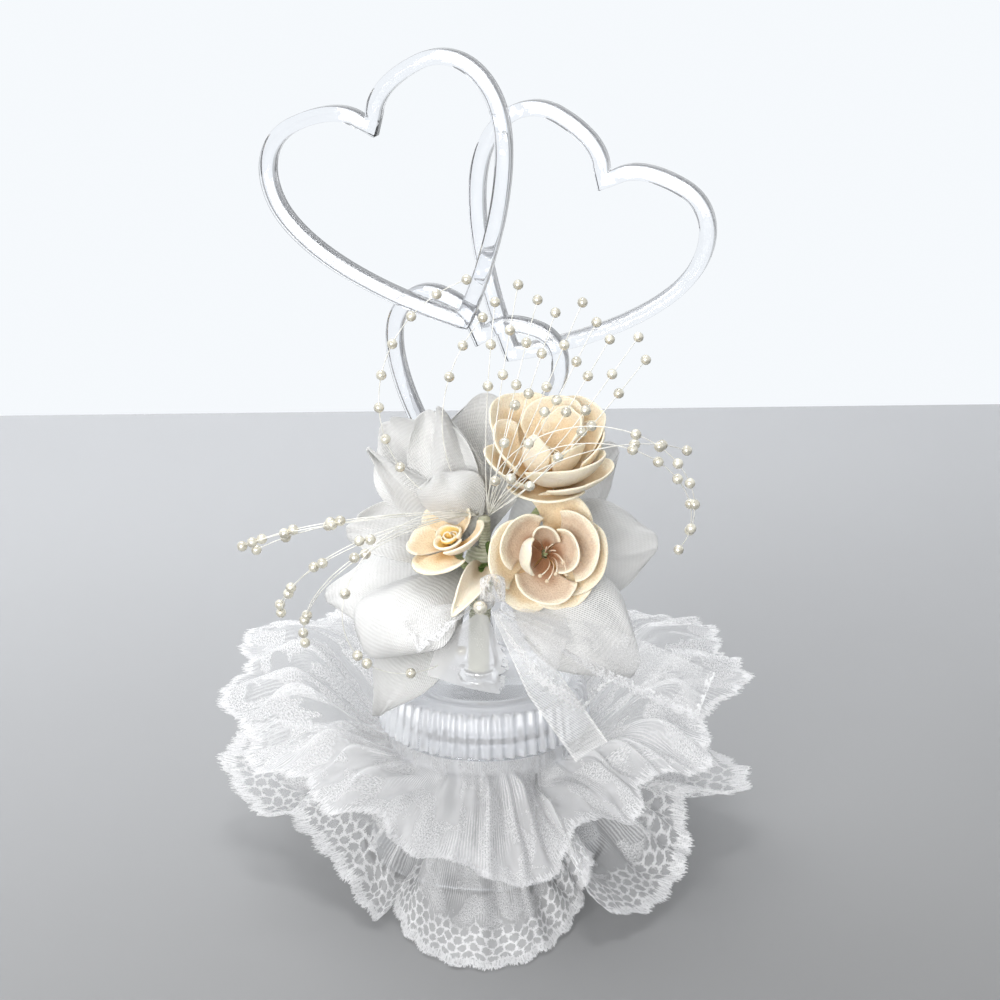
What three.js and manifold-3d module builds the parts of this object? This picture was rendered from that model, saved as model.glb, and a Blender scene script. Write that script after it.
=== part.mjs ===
// Wedding cake topper: clear moulded base with three open hearts, a paper-rose bouquet with satin
// petals, pearl sprays and a lace bow, and a two-tier lace ruffle.
// Millimetres, +Z up. The origin is the centre of the base, on the table.
import * as THREE from 'three';
import { mergeVertices } from 'three/addons/utils/BufferGeometryUtils.js';
import Module from 'manifold-3d';

const wasm = await Module();
wasm.setup();

// Gap left between pieces that are glued, pressed or tied together
const SEAT_GAP = 0.3;

// Clear ribbed cap, pressed over the foot's spigot
const CAP_RADIUS = 29.6;
const CAP_FLARE = 1.6;
const CAP_HEIGHT = 12;
const CAP_WALL = 2;
const CAP_PLATE = 1.8;
const CAP_RIBS = 56;
const CAP_RIB_DEPTH = 0.8;
const CAP_RING_WIDTH = 1.4;
const CAP_RING_HEIGHT = 0.7;
const SPIGOT_RADIUS = CAP_RADIUS - CAP_FLARE - CAP_RIB_DEPTH - CAP_WALL - SEAT_GAP;

// Clear foot, hidden by the lace: its shoulder stands out from the spigot and its rim from the neck
const FOOT_HEIGHT = 36.7;
const FOOT_SHOULDER = 1.5;
const FOOT_FLARE = 7.6;
const FOOT_NECK_HEIGHT = 12;
const FOOT_WALL = 1.8;
const FOOT_SPIGOT_HEIGHT = 5;
const FOOT_NECK_RADIUS = SPIGOT_RADIUS + FOOT_SHOULDER;
const CAP_BOTTOM = FOOT_HEIGHT + SEAT_GAP;
const CAP_TOP = CAP_BOTTOM + CAP_HEIGHT;

// Small open heart on its stem, its tip above the cap's plate
const HEART_BAR = 4;
const HEART_DEPTH = 4.4;
const STAND_HEART = { height: 49.5, width: 51, notch: 6.4, lean: 16.5 };
const STAND_TIP = [-14.7, 55.7];
const STAND_PLANE = 8;
const STAND_STEM_FOOT = -4;
const STAND_STEM_TOP_WIDTH = 5;
const STAND_STEM_FOOT_WIDTH = 11;
const STAND_TAB_WIDTH = 8;
const STAND_TAB_DEPTH = 3;

// Large open hearts, cemented to the front and the back of the small one, tips measured from its tip
const LEFT_HEART = { height: 69.8, width: 71.4, notch: 8.8, lean: -26.6, tip: [9.5, 41.6] };
const RIGHT_HEART = { height: 67, width: 68, notch: 8.2, lean: 27.5, tip: [17.7, 31.3] };

// Hub of the bouquet above the cap's plate, and the wrapped stems that carry it
const HUB_PLACE = [3.2, -9.5];
const HUB_RISE = 37.7;
const HUB_RADIUS = 5.5;
const WRAP_FOOT = [-1, -2];
const WRAP_RADIUS = 3;
const GLUE_RADIUS = 6.2;
const GLUE_HEIGHT = 3;

// Paper roses, from the hub: centre of the outer whorl, the way it faces, its radius and depth
const PAPER = 0.6;
const ROSE_WIRE = 0.8;
const ROSE_SEAT = 2.4;
const ROSE_CALYX = 4;
const ROSES = {
  rose_a: { base: [16, 5, 25.8], facing: [0.1, -0.5, 0.86], radius: 15, depth: 12, core: 2.6 },
  rose_b: { base: [19.5, -7, 4.8], facing: [0.35, -0.93, 0.25], radius: 12.6, depth: 8, core: 2, stamens: 6 },
  rose_c: { base: [-4.4, -14, 6.8], facing: [-0.3, -0.72, 0.62], radius: 8.8, depth: 7, core: 1.5 },
};
const OUTER_WHORL = { name: 'outer', petals: 5, spread: 1, rise: 0.75, curl: 6, valley: 0.45, turn: 0.2 };
const MIDDLE_WHORL = { ...OUTER_WHORL, name: 'middle', spread: 0.74, rise: 0.95, curl: 4, turn: 0.8 };
const INNER_WHORL = { name: 'inner', petals: 3, spread: 0.45, rise: 1, curl: 2, valley: 0.5, turn: 0.4 };
const SMALL_INNER_SPREAD = 0.55;
const STAMEN_RADIUS = 0.35;
const STAMEN_SPREAD = 2.6;
const STAMEN_LENGTH = 5.5;

// Satin petals, from the hub: tip, the way the face swells, width, how far the face swells and cups
const SATIN = 0.7;
const SATIN_ROUND = 0.1;
const PETAL_ROOT = 0.1;
const PETAL_FULLNESS = 0.78;
const PETAL_SHOULDER = 0.7;
const PETAL_DRAWN_IN = 0.6;
const SATIN_PETALS = {
  front_left: { tip: [-22.9, -30.5, -11.6], facing: [-0.35, -0.75, 0.55], width: 32, swell: 8, cup: -5 },
  low_left: { tip: [-19.2, -26.8, -38], facing: [-0.3, -0.9, -0.3], width: 34, swell: 9, cup: -2 },
  left: { tip: [-43.2, -6.5, -12.7], facing: [-0.35, -0.4, 0.8], width: 32, swell: 3, cup: -3 },
  side: { tip: [-34.2, -13.5, 9.3], facing: [-0.1, -0.6, 0.8], width: 20, swell: 2.5, cup: 2 },
  up_left: { tip: [-29.2, 6.5, 34.3], facing: [-0.1, -0.95, 0.3], width: 25, swell: 2, cup: 2 },
  top: { tip: [-15.2, -3.5, 41.3], facing: [0, -1, 0.1], width: 22, swell: 2.5, cup: 2 },
  behind: { tip: [-4.2, 13.5, 42.3], facing: [0, -1, 0], width: 28, swell: -2, cup: 1 },
  right: { tip: [33.8, 23.5, 22.3], facing: [0.2, -0.9, 0.2], width: 28, swell: -3, cup: 2 },
  far_right: { tip: [43.8, 20.5, 9.3], facing: [0.2, -0.8, 0.5], width: 24, swell: -1, cup: 1 },
  low_right: { tip: [43.8, -7.5, -24.7], facing: [0.3, -0.5, 0.8], width: 28, swell: 4, cup: -2 },
  back: { tip: [23.8, 18.5, -22.7], facing: [0.4, 0.8, 0.4], width: 24, swell: 3, cup: 3 },
};

// Curled ivory petal and green sprig between the roses, from the hub
const IVORY_PETAL = { tip: [0.3, -27, -5.7], facing: [0, -0.2, 1], width: 6, swell: -1.5, cup: 1.5 };
const IVORY_ROUND = 0.15;
const LEAF = 0.7;
const LEAF_ROUND = 0.3;
const LEAVES = [
  { tip: [5.3, -15.5, 1.3], facing: [0, -0.5, 0.9], width: 4.5, swell: 0.5, cup: 0.5 },
  { tip: [6.3, -11.5, 9.3], facing: [0, -0.9, 0.4], width: 4, swell: 0.5, cup: 0.5 },
];

// Lace bow on its wire: the knot from the hub, the tips of its tails from the knot
const LACE = 0.8;
const BOW_KNOT = [7.5, -23.5, -2.2];
const BOW_KNOT_RADIUS = 3.2;
const BOW_WIRE = 0.6;
const BOW_PEARL_RADIUS = 2;
const BOW_TAILS = {
  bow_tail_right: { tip: [28.3, 5, -24.5], facing: [0.3, -0.95, 0.1], width: 14, swell: 5, cup: 1 },
  bow_tail_far_right: { tip: [55.3, 20, -21.5], facing: [0.3, -0.8, 0.5], width: 17, swell: -1, cup: 1 },
  bow_tail_front: { tip: [-3.9, -7.2, -21.5], facing: [0.1, -0.95, 0.1], width: 20, swell: 1, cup: -2 },
  bow_loop_left: { tip: [-15.7, -13, -8.5], facing: [-0.2, -0.9, 0.4], width: 12, swell: 3, cup: 1 },
  ribbon_tail: { tip: [26.6, 7, -41.9], facing: [0.3, -0.95, 0.1], width: 10, swell: 1, cup: 0.6 },
};

// Gathered lace: each tier is a band round the neck, then a skirt. The tiers share their folds, so they nest
const LACE_BAND = 3.7;
const LACE_BAND_GAP = 1.5;
const LACE_HEAD_GAP = 0.9;
const LACE_HEM_GAP = 1.1;
const LACE_ROWS = 8;
const LACE_FOLDS = 8;
const FOLD_COLUMNS = 10;
const LACE_FOLD_HEIGHT = 9;
const LACE_SCALLOP = 17;
const LACE_REACH = 76.5;
const LACE_BELL = 1.1;
const LACE_SWAYS = [{ height: 2.4, waves: 3, start: 1 }, { height: 1.4, waves: 11, start: 2 }];
const LACE_FRONT_WIDER = 0.18;
const LACE_HEAD = FOOT_HEIGHT - LACE_HEAD_GAP;
const LOWER_HEAD = LACE_HEAD - LACE_BAND - LACE_BAND_GAP;
const LOWER_HEM = LACE_HEM_GAP + LACE - (LOWER_HEAD - LACE_BAND);
const UPPER_TIER = {
  head: LACE_HEAD,
  hemRise: 10,
  frontDrop: 19,
  frontShort: 27,
  tuck: 5,
  puff: 8,
  sideRise: 0,
  fall: 1.3,
};
const LOWER_TIER = {
  head: LOWER_HEAD,
  hemRise: LOWER_HEM,
  frontDrop: 0,
  frontShort: 0,
  tuck: 18,
  puff: 0,
  sideRise: 7,
  fall: 0.8,
};
const FRONT_ANGLE = -73;

// Pearl sprays, from the hub: strands leave their binding with one lean, end with another, and carry pearls
const PEARL_RADIUS = 1.4;
const FILAMENT_RADIUS = 0.28;
const STRAND_SIDES = 5;
const BINDING_RADIUS = 1.7;
const BINDING_TOP = [2.1, -7.7, 14.3];
const VIEW_ANGLE = 17;
const CROWN = { strands: 9, leanFrom: 2, leanTo: 46, lengths: [55, 60, 57], pearls: [0.66, 0.83, 1] };
const FRONT_STRANDS = [
  { lean: [2, 22], length: 33, forward: [13, 8], pearls: [0.45, 0.75, 1] },
  { lean: [14, 36], length: 34, forward: [14, 9], pearls: [0.5, 0.78, 1] },
  { lean: [30, 56], length: 35, forward: [14, 9], pearls: [0.5, 0.78, 1] },
];
const RIGHT_STRANDS = [
  { lean: [-8, 208], length: 106, forward: [20, 2], pearls: [0.56, 0.63, 0.7, 0.77, 0.84, 0.92, 1] },
  { lean: [0, 186], length: 90, forward: [20, 4], pearls: [0.6, 0.69, 0.78, 0.89, 1] },
  { lean: [16, 122], length: 68, forward: [18, 6], pearls: [0.76, 0.88, 1] },
];
const LEFT_STRANDS = [
  { lean: [-80, 74], length: 84, forward: [4, -8], pearls: [0.3, 0.4, 0.5, 0.6, 0.7, 0.8, 0.9, 1] },
  { lean: [-42, 44], length: 56, forward: [4, -8], pearls: [0.7, 0.85, 1] },
  { lean: [-52, -136], length: 66, forward: [8, 6], pearls: [0.62, 0.68, 0.8, 0.86, 0.93, 1] },
  { lean: [-52, -146], length: 66, forward: [10, 10], pearls: [0.66, 0.75, 0.94, 1] },
  { lean: [-52, -168], length: 68, forward: [14, 16], pearls: [0.55, 0.7, 0.76, 0.94, 1] },
  { lean: [-54, -190], length: 72, forward: [22, 22], pearls: [0.5, 0.64, 0.78, 0.93, 1] },
  { lean: [-58, -300], length: 78, forward: [26, 26], pearls: [0.48, 0.62, 0.74, 0.87, 1] },
];

const UP = new THREE.Vector3(0, 0, 1);
const HUB = new THREE.Vector3();
const topper = new THREE.Group();
const bouquet = new THREE.Group();
bouquet.position.set(...HUB_PLACE, CAP_TOP + HUB_RISE);
topper.add(bouquet);

// A mesh of the part, under its own name and material
function add(name, geometry, look, parent = topper) {
  const mesh = new THREE.Mesh(geometry, new THREE.MeshStandardMaterial(look));
  mesh.name = name;
  parent.add(mesh);
  return mesh;
}

const CLEAR = { color: 0xe9eef2, roughness: 0.06, metalness: 0 };
const WHITE_LACE = { color: 0xf4f4f2, roughness: 0.85, metalness: 0 };
const WHITE_SATIN = { color: 0xf6f5f3, roughness: 0.45, metalness: 0 };
const CREAM_PAPER = { color: 0xf0dcb4, roughness: 0.8, metalness: 0 };
const BLUSH_PAPER = { color: 0xe9cfae, roughness: 0.8, metalness: 0 };
const GOLD_PAPER = { color: 0xe8c77e, roughness: 0.8, metalness: 0 };
const GREEN_WRAP = { color: 0x9fb083, roughness: 0.75, metalness: 0 };
const WHITE_WRAP = { color: 0xe9e8dc, roughness: 0.7, metalness: 0 };
const PEARL = { color: 0xe6e0cf, roughness: 0.25, metalness: 0.1 };

const vector = (list) => new THREE.Vector3(...list);
const radians = THREE.MathUtils.degToRad;
const lerp = THREE.MathUtils.lerp;

// Only positions count for a solid, so shared corners are merged
function welded(geometry) {
  const bare = geometry.clone();
  bare.deleteAttribute('normal');
  bare.deleteAttribute('uv');
  return mergeVertices(bare, 1e-4);
}

function toSolid(geometry) {
  const body = welded(geometry);
  const vertProperties = new Float32Array(body.attributes.position.array);
  const triVerts = new Uint32Array(body.index.array);
  return new wasm.Manifold(new wasm.Mesh({ numProp: 3, vertProperties, triVerts }));
}

function toGeometry(solid) {
  const mesh = solid.getMesh();
  const geometry = new THREE.BufferGeometry();
  geometry.setAttribute('position', new THREE.BufferAttribute(new Float32Array(mesh.vertProperties), 3));
  geometry.setIndex(new THREE.BufferAttribute(new Uint32Array(mesh.triVerts), 1));
  geometry.computeVertexNormals();
  return geometry;
}

const joined = (geometries) => toGeometry(geometries.map(toSolid).reduce((whole, next) => whole.add(next)));
const cut = (geometry, tool) => toGeometry(toSolid(geometry).subtract(toSolid(tool)));

// A closed ring turned about Z from a profile of [radius, height] points
function turned(profile, segments) {
  const points = profile.map(([radius, height]) => new THREE.Vector2(radius, height));
  return welded(new THREE.LatheGeometry(points, segments)).rotateX(Math.PI / 2);
}

// A round bar along a curve
function bar(curve, radius, steps, sides = 8) {
  const section = new THREE.Shape().absarc(0, 0, radius, 0, 2 * Math.PI, false);
  return new THREE.ExtrudeGeometry(section, { steps, extrudePath: curve, curveSegments: sides });
}

// A thin sheet through a grid of points, thickened along the grid's own normals
function sheet(columns, rows, point, thickness, wraps = false) {
  const across = wraps ? columns : columns + 1;
  const middle = [];
  for (let j = 0; j <= rows; j += 1) {
    for (let i = 0; i < across; i += 1) middle.push(point(i / columns, j / rows));
  }
  const column = (i) => (wraps ? (i + across) % across : THREE.MathUtils.clamp(i, 0, columns));
  const row = (j) => THREE.MathUtils.clamp(j, 0, rows);
  const at = (i, j) => row(j) * across + column(i);
  const top = [];
  const bottom = [];
  for (let j = 0; j <= rows; j += 1) {
    for (let i = 0; i < across; i += 1) {
      const alongColumns = middle[at(i + 1, j)].clone().sub(middle[at(i - 1, j)]);
      const alongRows = middle[at(i, j + 1)].clone().sub(middle[at(i, j - 1)]);
      const normal = alongColumns.cross(alongRows).normalize().multiplyScalar(thickness / 2);
      top.push(middle[at(i, j)].clone().add(normal));
      bottom.push(middle[at(i, j)].clone().sub(normal));
    }
  }
  const under = middle.length;
  const faces = [];
  const quad = (a, b, c, d) => faces.push(a, b, c, a, c, d);
  for (let j = 0; j < rows; j += 1) {
    for (let i = 0; i < columns; i += 1) {
      const [a, b, c, d] = [at(i, j), at(i + 1, j), at(i + 1, j + 1), at(i, j + 1)];
      quad(a, b, c, d);
      quad(under + d, under + c, under + b, under + a);
    }
  }
  for (let i = 0; i < columns; i += 1) {
    quad(under + at(i, 0), under + at(i + 1, 0), at(i + 1, 0), at(i, 0));
    quad(at(i, rows), at(i + 1, rows), under + at(i + 1, rows), under + at(i, rows));
  }
  for (let j = 0; j < rows && !wraps; j += 1) {
    quad(at(0, j), at(0, j + 1), under + at(0, j + 1), under + at(0, j));
    quad(under + at(columns, j), under + at(columns, j + 1), at(columns, j + 1), at(columns, j));
  }
  const geometry = new THREE.BufferGeometry().setFromPoints([...top, ...bottom]);
  geometry.setIndex(faces);
  geometry.computeVertexNormals();
  return geometry;
}

// Clear foot: a flared shell, open below, with a neck for the lace and a spigot for the cap
function footGeometry() {
  const neckStart = FOOT_HEIGHT - FOOT_NECK_HEIGHT;
  const flare = new THREE.QuadraticBezierCurve(
    new THREE.Vector2(FOOT_NECK_RADIUS + FOOT_FLARE, 0),
    new THREE.Vector2(FOOT_NECK_RADIUS, neckStart * 0.3),
    new THREE.Vector2(FOOT_NECK_RADIUS, neckStart),
  ).getPoints(4).map((p) => [p.x, p.y]);
  const spigotTop = FOOT_HEIGHT + FOOT_SPIGOT_HEIGHT;
  const spigot = [[SPIGOT_RADIUS, FOOT_HEIGHT], [SPIGOT_RADIUS, spigotTop]];
  const inner = flare.map(([radius, height]) => [radius - FOOT_WALL, height]).reverse();
  const roof = spigotTop - FOOT_WALL;
  const under = [[0, spigotTop], [0, roof], [SPIGOT_RADIUS - FOOT_WALL, roof], ...inner];
  return turned([...flare, [FOOT_NECK_RADIUS, FOOT_HEIGHT], ...spigot, ...under, flare[0]], 36);
}

// Clear cap: a ribbed, slightly flared wall under a plate with two raised rings and a slot for the stem
function capGeometry() {
  const wall = new THREE.Shape();
  for (let i = 0; i < 2 * CAP_RIBS; i += 1) {
    const angle = (Math.PI * i) / CAP_RIBS;
    const radius = CAP_RADIUS - (i % 2) * CAP_RIB_DEPTH;
    wall[i ? 'lineTo' : 'moveTo'](radius * Math.cos(angle), radius * Math.sin(angle));
  }
  wall.closePath();
  wall.holes.push(new THREE.Path().absarc(0, 0, SPIGOT_RADIUS + SEAT_GAP, 0, 2 * Math.PI, true));
  const ring = new THREE.ExtrudeGeometry(wall, { depth: CAP_HEIGHT, bevelEnabled: false, curveSegments: 40 });
  const place = ring.attributes.position;
  for (let i = 0; i < place.count; i += 1) {
    const radius = Math.hypot(place.getX(i), place.getY(i));
    const drawnIn = radius > SPIGOT_RADIUS + 2 * SEAT_GAP ? CAP_FLARE * (place.getZ(i) / CAP_HEIGHT) : 0;
    place.setX(i, place.getX(i) * (1 - drawnIn / radius));
    place.setY(i, place.getY(i) * (1 - drawnIn / radius));
  }
  const rim = CAP_RADIUS - CAP_FLARE - CAP_RIB_DEPTH;
  const step = rim - 2 * CAP_RING_WIDTH;
  const edge = rim - CAP_WALL / 2;
  const profile = [[0, CAP_HEIGHT - CAP_PLATE], [edge, CAP_HEIGHT - CAP_PLATE], [edge, CAP_HEIGHT]];
  for (const radius of [step, step - 3 * CAP_RING_WIDTH]) {
    profile.push([radius, CAP_HEIGHT], [radius - CAP_RING_WIDTH / 2, CAP_HEIGHT + CAP_RING_HEIGHT]);
    profile.push([radius - CAP_RING_WIDTH, CAP_HEIGHT]);
  }
  profile.push([0, CAP_HEIGHT]);
  const plate = turned(profile, 40);
  const slotSize = [STAND_TAB_WIDTH + 2 * SEAT_GAP, STAND_TAB_DEPTH + 2 * SEAT_GAP, 4 * CAP_PLATE];
  const slot = new THREE.BoxGeometry(...slotSize);
  slot.translate(STAND_STEM_FOOT, STAND_PLANE, CAP_HEIGHT);
  return cut(joined([ring, plate]), slot);
}

// Outline of one heart, tip at the origin, as points from the notch round the right lobe to the tip
function heartHalf({ height, width, notch }) {
  const side = width / 2;
  const path = new THREE.CurvePath();
  const point = (x, y) => new THREE.Vector2(x * side, y * height);
  const base = new THREE.Vector2(0, height - notch);
  const crest = point(0.55, 1);
  const flank = point(1, 0.74);
  path.add(new THREE.CubicBezierCurve(base, point(0.08, 0.965), point(0.3, 1), crest));
  path.add(new THREE.CubicBezierCurve(crest, point(0.82, 1), point(1, 0.89), flank));
  path.add(new THREE.CubicBezierCurve(flank, point(1, 0.51), point(0.49, 0.2), new THREE.Vector2(0, 0)));
  return path.getSpacedPoints(20);
}

// Open heart: the outline less the same outline drawn in by the width of the bar
function heartGeometry(heart, tip, plane) {
  const half = heartHalf(heart);
  const drawnIn = [];
  for (let i = 0; i < half.length; i += 1) {
    const before = half[Math.max(i - 1, 0)];
    const after = half[Math.min(i + 1, half.length - 1)];
    const run = after.clone().sub(before).normalize();
    const inside = half[i].clone().add(new THREE.Vector2(run.y, -run.x).multiplyScalar(HEART_BAR));
    if (inside.x > HEART_BAR / 4) drawnIn.push(inside);
  }
  const innerNotch = new THREE.Vector2(0, heart.height - heart.notch - 1.4 * HEART_BAR);
  const innerTip = new THREE.Vector2(0, 1.3 * HEART_BAR);
  const mirrored = (points) => points.map((p) => new THREE.Vector2(-p.x, p.y)).reverse();
  const outline = new THREE.Shape([...half, ...mirrored(half.slice(1, -1))]);
  outline.holes.push(new THREE.Path([innerNotch, ...drawnIn, innerTip, ...mirrored(drawnIn)].reverse()));
  const drawing = new THREE.ExtrudeGeometry(outline, { depth: HEART_DEPTH, bevelEnabled: false });
  return stood(drawing, heart.lean, tip, plane);
}

// Stands a drawing up in the XZ plane, leaning to the right by an angle, its depth centred on a Y plane
function stood(geometry, lean, [x, z], plane) {
  geometry.rotateZ(-radians(lean));
  geometry.rotateX(Math.PI / 2);
  return geometry.translate(x, plane + HEART_DEPTH / 2, z);
}

const standTip = [STAND_TIP[0], CAP_TOP + STAND_TIP[1]];
function standGeometry() {
  const [tipX, tipZ] = standTip;
  const seat = CAP_TOP + SEAT_GAP;
  const top = tipZ + HEART_BAR;
  const topX = tipX + HEART_BAR * Math.tan(radians(STAND_HEART.lean));
  const stem = new THREE.Shape();
  stem.moveTo(STAND_STEM_FOOT - STAND_STEM_FOOT_WIDTH / 2, seat);
  stem.lineTo(STAND_STEM_FOOT + STAND_STEM_FOOT_WIDTH / 2, seat);
  stem.quadraticCurveTo(STAND_STEM_FOOT, (seat + top) / 2, topX + STAND_STEM_TOP_WIDTH / 2, top);
  stem.lineTo(topX - STAND_STEM_TOP_WIDTH / 2, top);
  stem.quadraticCurveTo(
    STAND_STEM_FOOT - STAND_STEM_FOOT_WIDTH,
    (seat + top) / 2,
    STAND_STEM_FOOT - STAND_STEM_FOOT_WIDTH / 2,
    seat,
  );
  const stemDepth = { depth: HEART_DEPTH, bevelEnabled: false, curveSegments: 6 };
  const stemBar = stood(new THREE.ExtrudeGeometry(stem, stemDepth), 0, [0, 0], STAND_PLANE);
  const tab = new THREE.BoxGeometry(STAND_TAB_WIDTH, STAND_TAB_DEPTH, CAP_PLATE + 2 * SEAT_GAP);
  tab.translate(STAND_STEM_FOOT, STAND_PLANE, seat - CAP_PLATE / 2);
  return joined([heartGeometry(STAND_HEART, standTip, STAND_PLANE), stemBar, tab]);
}

// A petal or strip: a centre line from root to tip that swells towards its face, with a width profile
function blade({ root, tip, facing, width, swell, cup }, profile, round, thickness, columns, rows) {
  const face = vector(facing).normalize();
  const middle = root.clone().lerp(tip, 0.5).addScaledVector(face, 2 * swell);
  const line = new THREE.QuadraticBezierCurve3(root, middle, tip);
  const side = tip.clone().sub(root).cross(face).normalize();
  return sheet(columns, rows, (u, v) => {
    const across = 2 * u - 1;
    const along = v * (1 - round * across * across);
    const up = side.clone().cross(line.getTangent(along));
    const reach = (width / 2) * profile(v);
    const bowl = cup * profile(v) * across * across;
    return line.getPoint(along).addScaledVector(side, across * reach).addScaledVector(up, bowl);
  }, thickness);
}
const petalProfile = (v) => {
  const end = Math.max(0, (v - PETAL_SHOULDER) / (1 - PETAL_SHOULDER));
  const widening = Math.sin(Math.PI * PETAL_FULLNESS * v);
  return Math.max(PETAL_ROOT, widening * Math.sqrt(1 - PETAL_DRAWN_IN * end * end));
};
const stripProfile = (v) => Math.min(1, 0.14 + 1.7 * v);

// Where a blade leaves a ball, just clear of it
function rootOn(centre, radius, towards, thickness) {
  const way = towards.clone().sub(centre).normalize();
  return centre.clone().addScaledVector(way, radius + SEAT_GAP + thickness / 2);
}

// Die-cut whorl of a paper rose: petals in one sheet round a hole for the wire, rising along +Z
function whorlGeometry({ petals, radius, depth, curl, valley, height, turn }) {
  const hole = ROSE_WIRE + SEAT_GAP;
  return sheet(petals * 4, 4, (u, v) => {
    const angle = 2 * Math.PI * u;
    const lobe = Math.abs(Math.cos((petals * angle) / 2)) ** 0.6;
    const along = v * lerp(valley, 1, lobe);
    const lip = Math.max(0, along - 0.75);
    const reach = hole + (radius - hole) * Math.sin((Math.PI / 2) * along) + curl * lip;
    const rise = height + depth * along ** 1.5 - 2 * curl * lip * lip;
    return new THREE.Vector3(reach * Math.cos(angle + turn), reach * Math.sin(angle + turn), rise);
  }, PAPER, true);
}

// Wire stem of a rose: a bar from the hub, a seat under the whorls and a core above them
function roseStemGeometry(rose, whorls, frame) {
  const top = whorls * (PAPER + SEAT_GAP);
  const seat = -SEAT_GAP - PAPER;
  const calyx = [[0, -ROSE_CALYX], [1.4 * ROSE_WIRE, -ROSE_CALYX], [ROSE_SEAT, seat], [ROSE_WIRE, seat]];
  const budOutline = [[0.8, 0.8], [0.7, 2], [0, 2.6]];
  const bud = budOutline.map(([radius, rise]) => [rose.core * radius, top + rose.core * rise]);
  const head = turned([...calyx, [ROSE_WIRE, top], ...bud], 8).applyMatrix4(frame);
  const foot = new THREE.Vector3(0, 0, -0.9 * ROSE_CALYX).applyMatrix4(frame);
  const bend = new THREE.Vector3(0, 0, -2.25 * ROSE_CALYX).applyMatrix4(frame);
  const start = rootOn(HUB, HUB_RADIUS, bend, 2 * ROSE_WIRE);
  const stamens = Array.from({ length: rose.stamens ?? 0 }, (_, i) => {
    const angle = (2 * Math.PI * i) / rose.stamens;
    const heart = new THREE.Vector3(0, 0, top + rose.core).applyMatrix4(frame);
    const rise = STAMEN_LENGTH * (i % 2 ? 0.8 : 1);
    const end = new THREE.Vector3(STAMEN_SPREAD, 0, top + rose.core + rise).applyAxisAngle(UP, angle);
    return bar(new THREE.LineCurve3(heart, end.applyMatrix4(frame)), STAMEN_RADIUS, 1, 4);
  });
  const wire = bar(new THREE.QuadraticBezierCurve3(start, bend, foot), ROSE_WIRE * 1.25, 4, 6);
  return joined([head, wire, ...stamens]);
}

function addRose(name, whorls, looks) {
  const rose = ROSES[name];
  const group = new THREE.Group();
  group.position.copy(vector(rose.base));
  group.quaternion.setFromUnitVectors(UP, vector(rose.facing).normalize());
  group.updateMatrix();
  bouquet.add(group);
  add(`${name}_stem`, roseStemGeometry(rose, whorls.length, group.matrix), GREEN_WRAP, bouquet);
  whorls.forEach((whorl, i) => {
    const height = i * (PAPER + SEAT_GAP);
    const size = { ...whorl, radius: rose.radius * whorl.spread, depth: rose.depth * whorl.rise, height };
    add(`${name}_${whorl.name}`, whorlGeometry(size), looks[i], group);
  });
}

// One strand of a spray: a filament whose lean changes evenly from its root, swollen into pearls
function strandGeometry(root, { lean, length, forward, pearls }) {
  const right = new THREE.Vector3(Math.cos(radians(VIEW_ANGLE)), Math.sin(radians(VIEW_ANGLE)), 0);
  const front = new THREE.Vector3(Math.sin(radians(VIEW_ANGLE)), -Math.cos(radians(VIEW_ANGLE)), 0);
  const [from, to] = lean.map(radians);
  const turn = to - from;
  const place = (s) => {
    const sideways = turn ? (Math.cos(from) - Math.cos(from + turn * s)) / turn : Math.sin(from) * s;
    const upwards = turn ? (Math.sin(from + turn * s) - Math.sin(from)) / turn : Math.cos(from) * s;
    const out = forward[0] * Math.sin(Math.PI * s) + forward[1] * s;
    return root.clone().addScaledVector(right, sideways * length).addScaledVector(front, out)
      .add(new THREE.Vector3(0, 0, upwards * length));
  };
  const stops = [];
  let last = 0;
  for (const pearl of pearls) {
    const start = pearl - PEARL_RADIUS / length;
    const plain = Math.max(1, Math.round(((start - last) * length) / 12));
    for (let i = 0; i < plain; i += 1) stops.push([lerp(last, start, i / plain), FILAMENT_RADIUS]);
    for (const along of [-0.97, -0.5, 0.5, 0.97]) {
      const swollen = Math.max(FILAMENT_RADIUS, PEARL_RADIUS * Math.sqrt(1 - along * along));
      stops.push([pearl + (along * PEARL_RADIUS) / length, swollen]);
    }
    last = pearl + PEARL_RADIUS / length;
  }
  const points = [];
  for (const [s, radius] of stops) {
    const run = place(s + 0.01).sub(place(s - 0.01)).normalize();
    const across = run.clone().cross(front).normalize();
    const over = across.clone().cross(run);
    for (let i = 0; i < STRAND_SIDES; i += 1) {
      const angle = (2 * Math.PI * i) / STRAND_SIDES;
      const offset = across.clone().multiplyScalar(Math.cos(angle)).addScaledVector(over, Math.sin(angle));
      points.push(place(s).addScaledVector(offset, radius));
    }
  }
  const faces = [];
  const ring = (j, i) => j * STRAND_SIDES + (i % STRAND_SIDES);
  for (let j = 0; j + 1 < stops.length; j += 1) {
    for (let i = 0; i < STRAND_SIDES; i += 1) {
      faces.push(ring(j, i), ring(j + 1, i + 1), ring(j, i + 1));
      faces.push(ring(j, i), ring(j + 1, i), ring(j + 1, i + 1));
    }
  }
  for (let i = 1; i + 1 < STRAND_SIDES; i += 1) {
    faces.push(ring(0, 0), ring(0, i), ring(0, i + 1));
    faces.push(ring(stops.length - 1, 0), ring(stops.length - 1, i + 1), ring(stops.length - 1, i));
  }
  const geometry = new THREE.BufferGeometry().setFromPoints(points);
  geometry.setIndex(faces);
  return geometry;
}

// A spray: its strands fused to a small collar at the root
function sprayGeometry(root, strands) {
  const collar = new THREE.SphereGeometry(3 * FILAMENT_RADIUS, 8, 5).translate(root.x, root.y, root.z);
  return joined([collar, ...strands.map((strand) => strandGeometry(root, strand))]);
}

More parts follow.
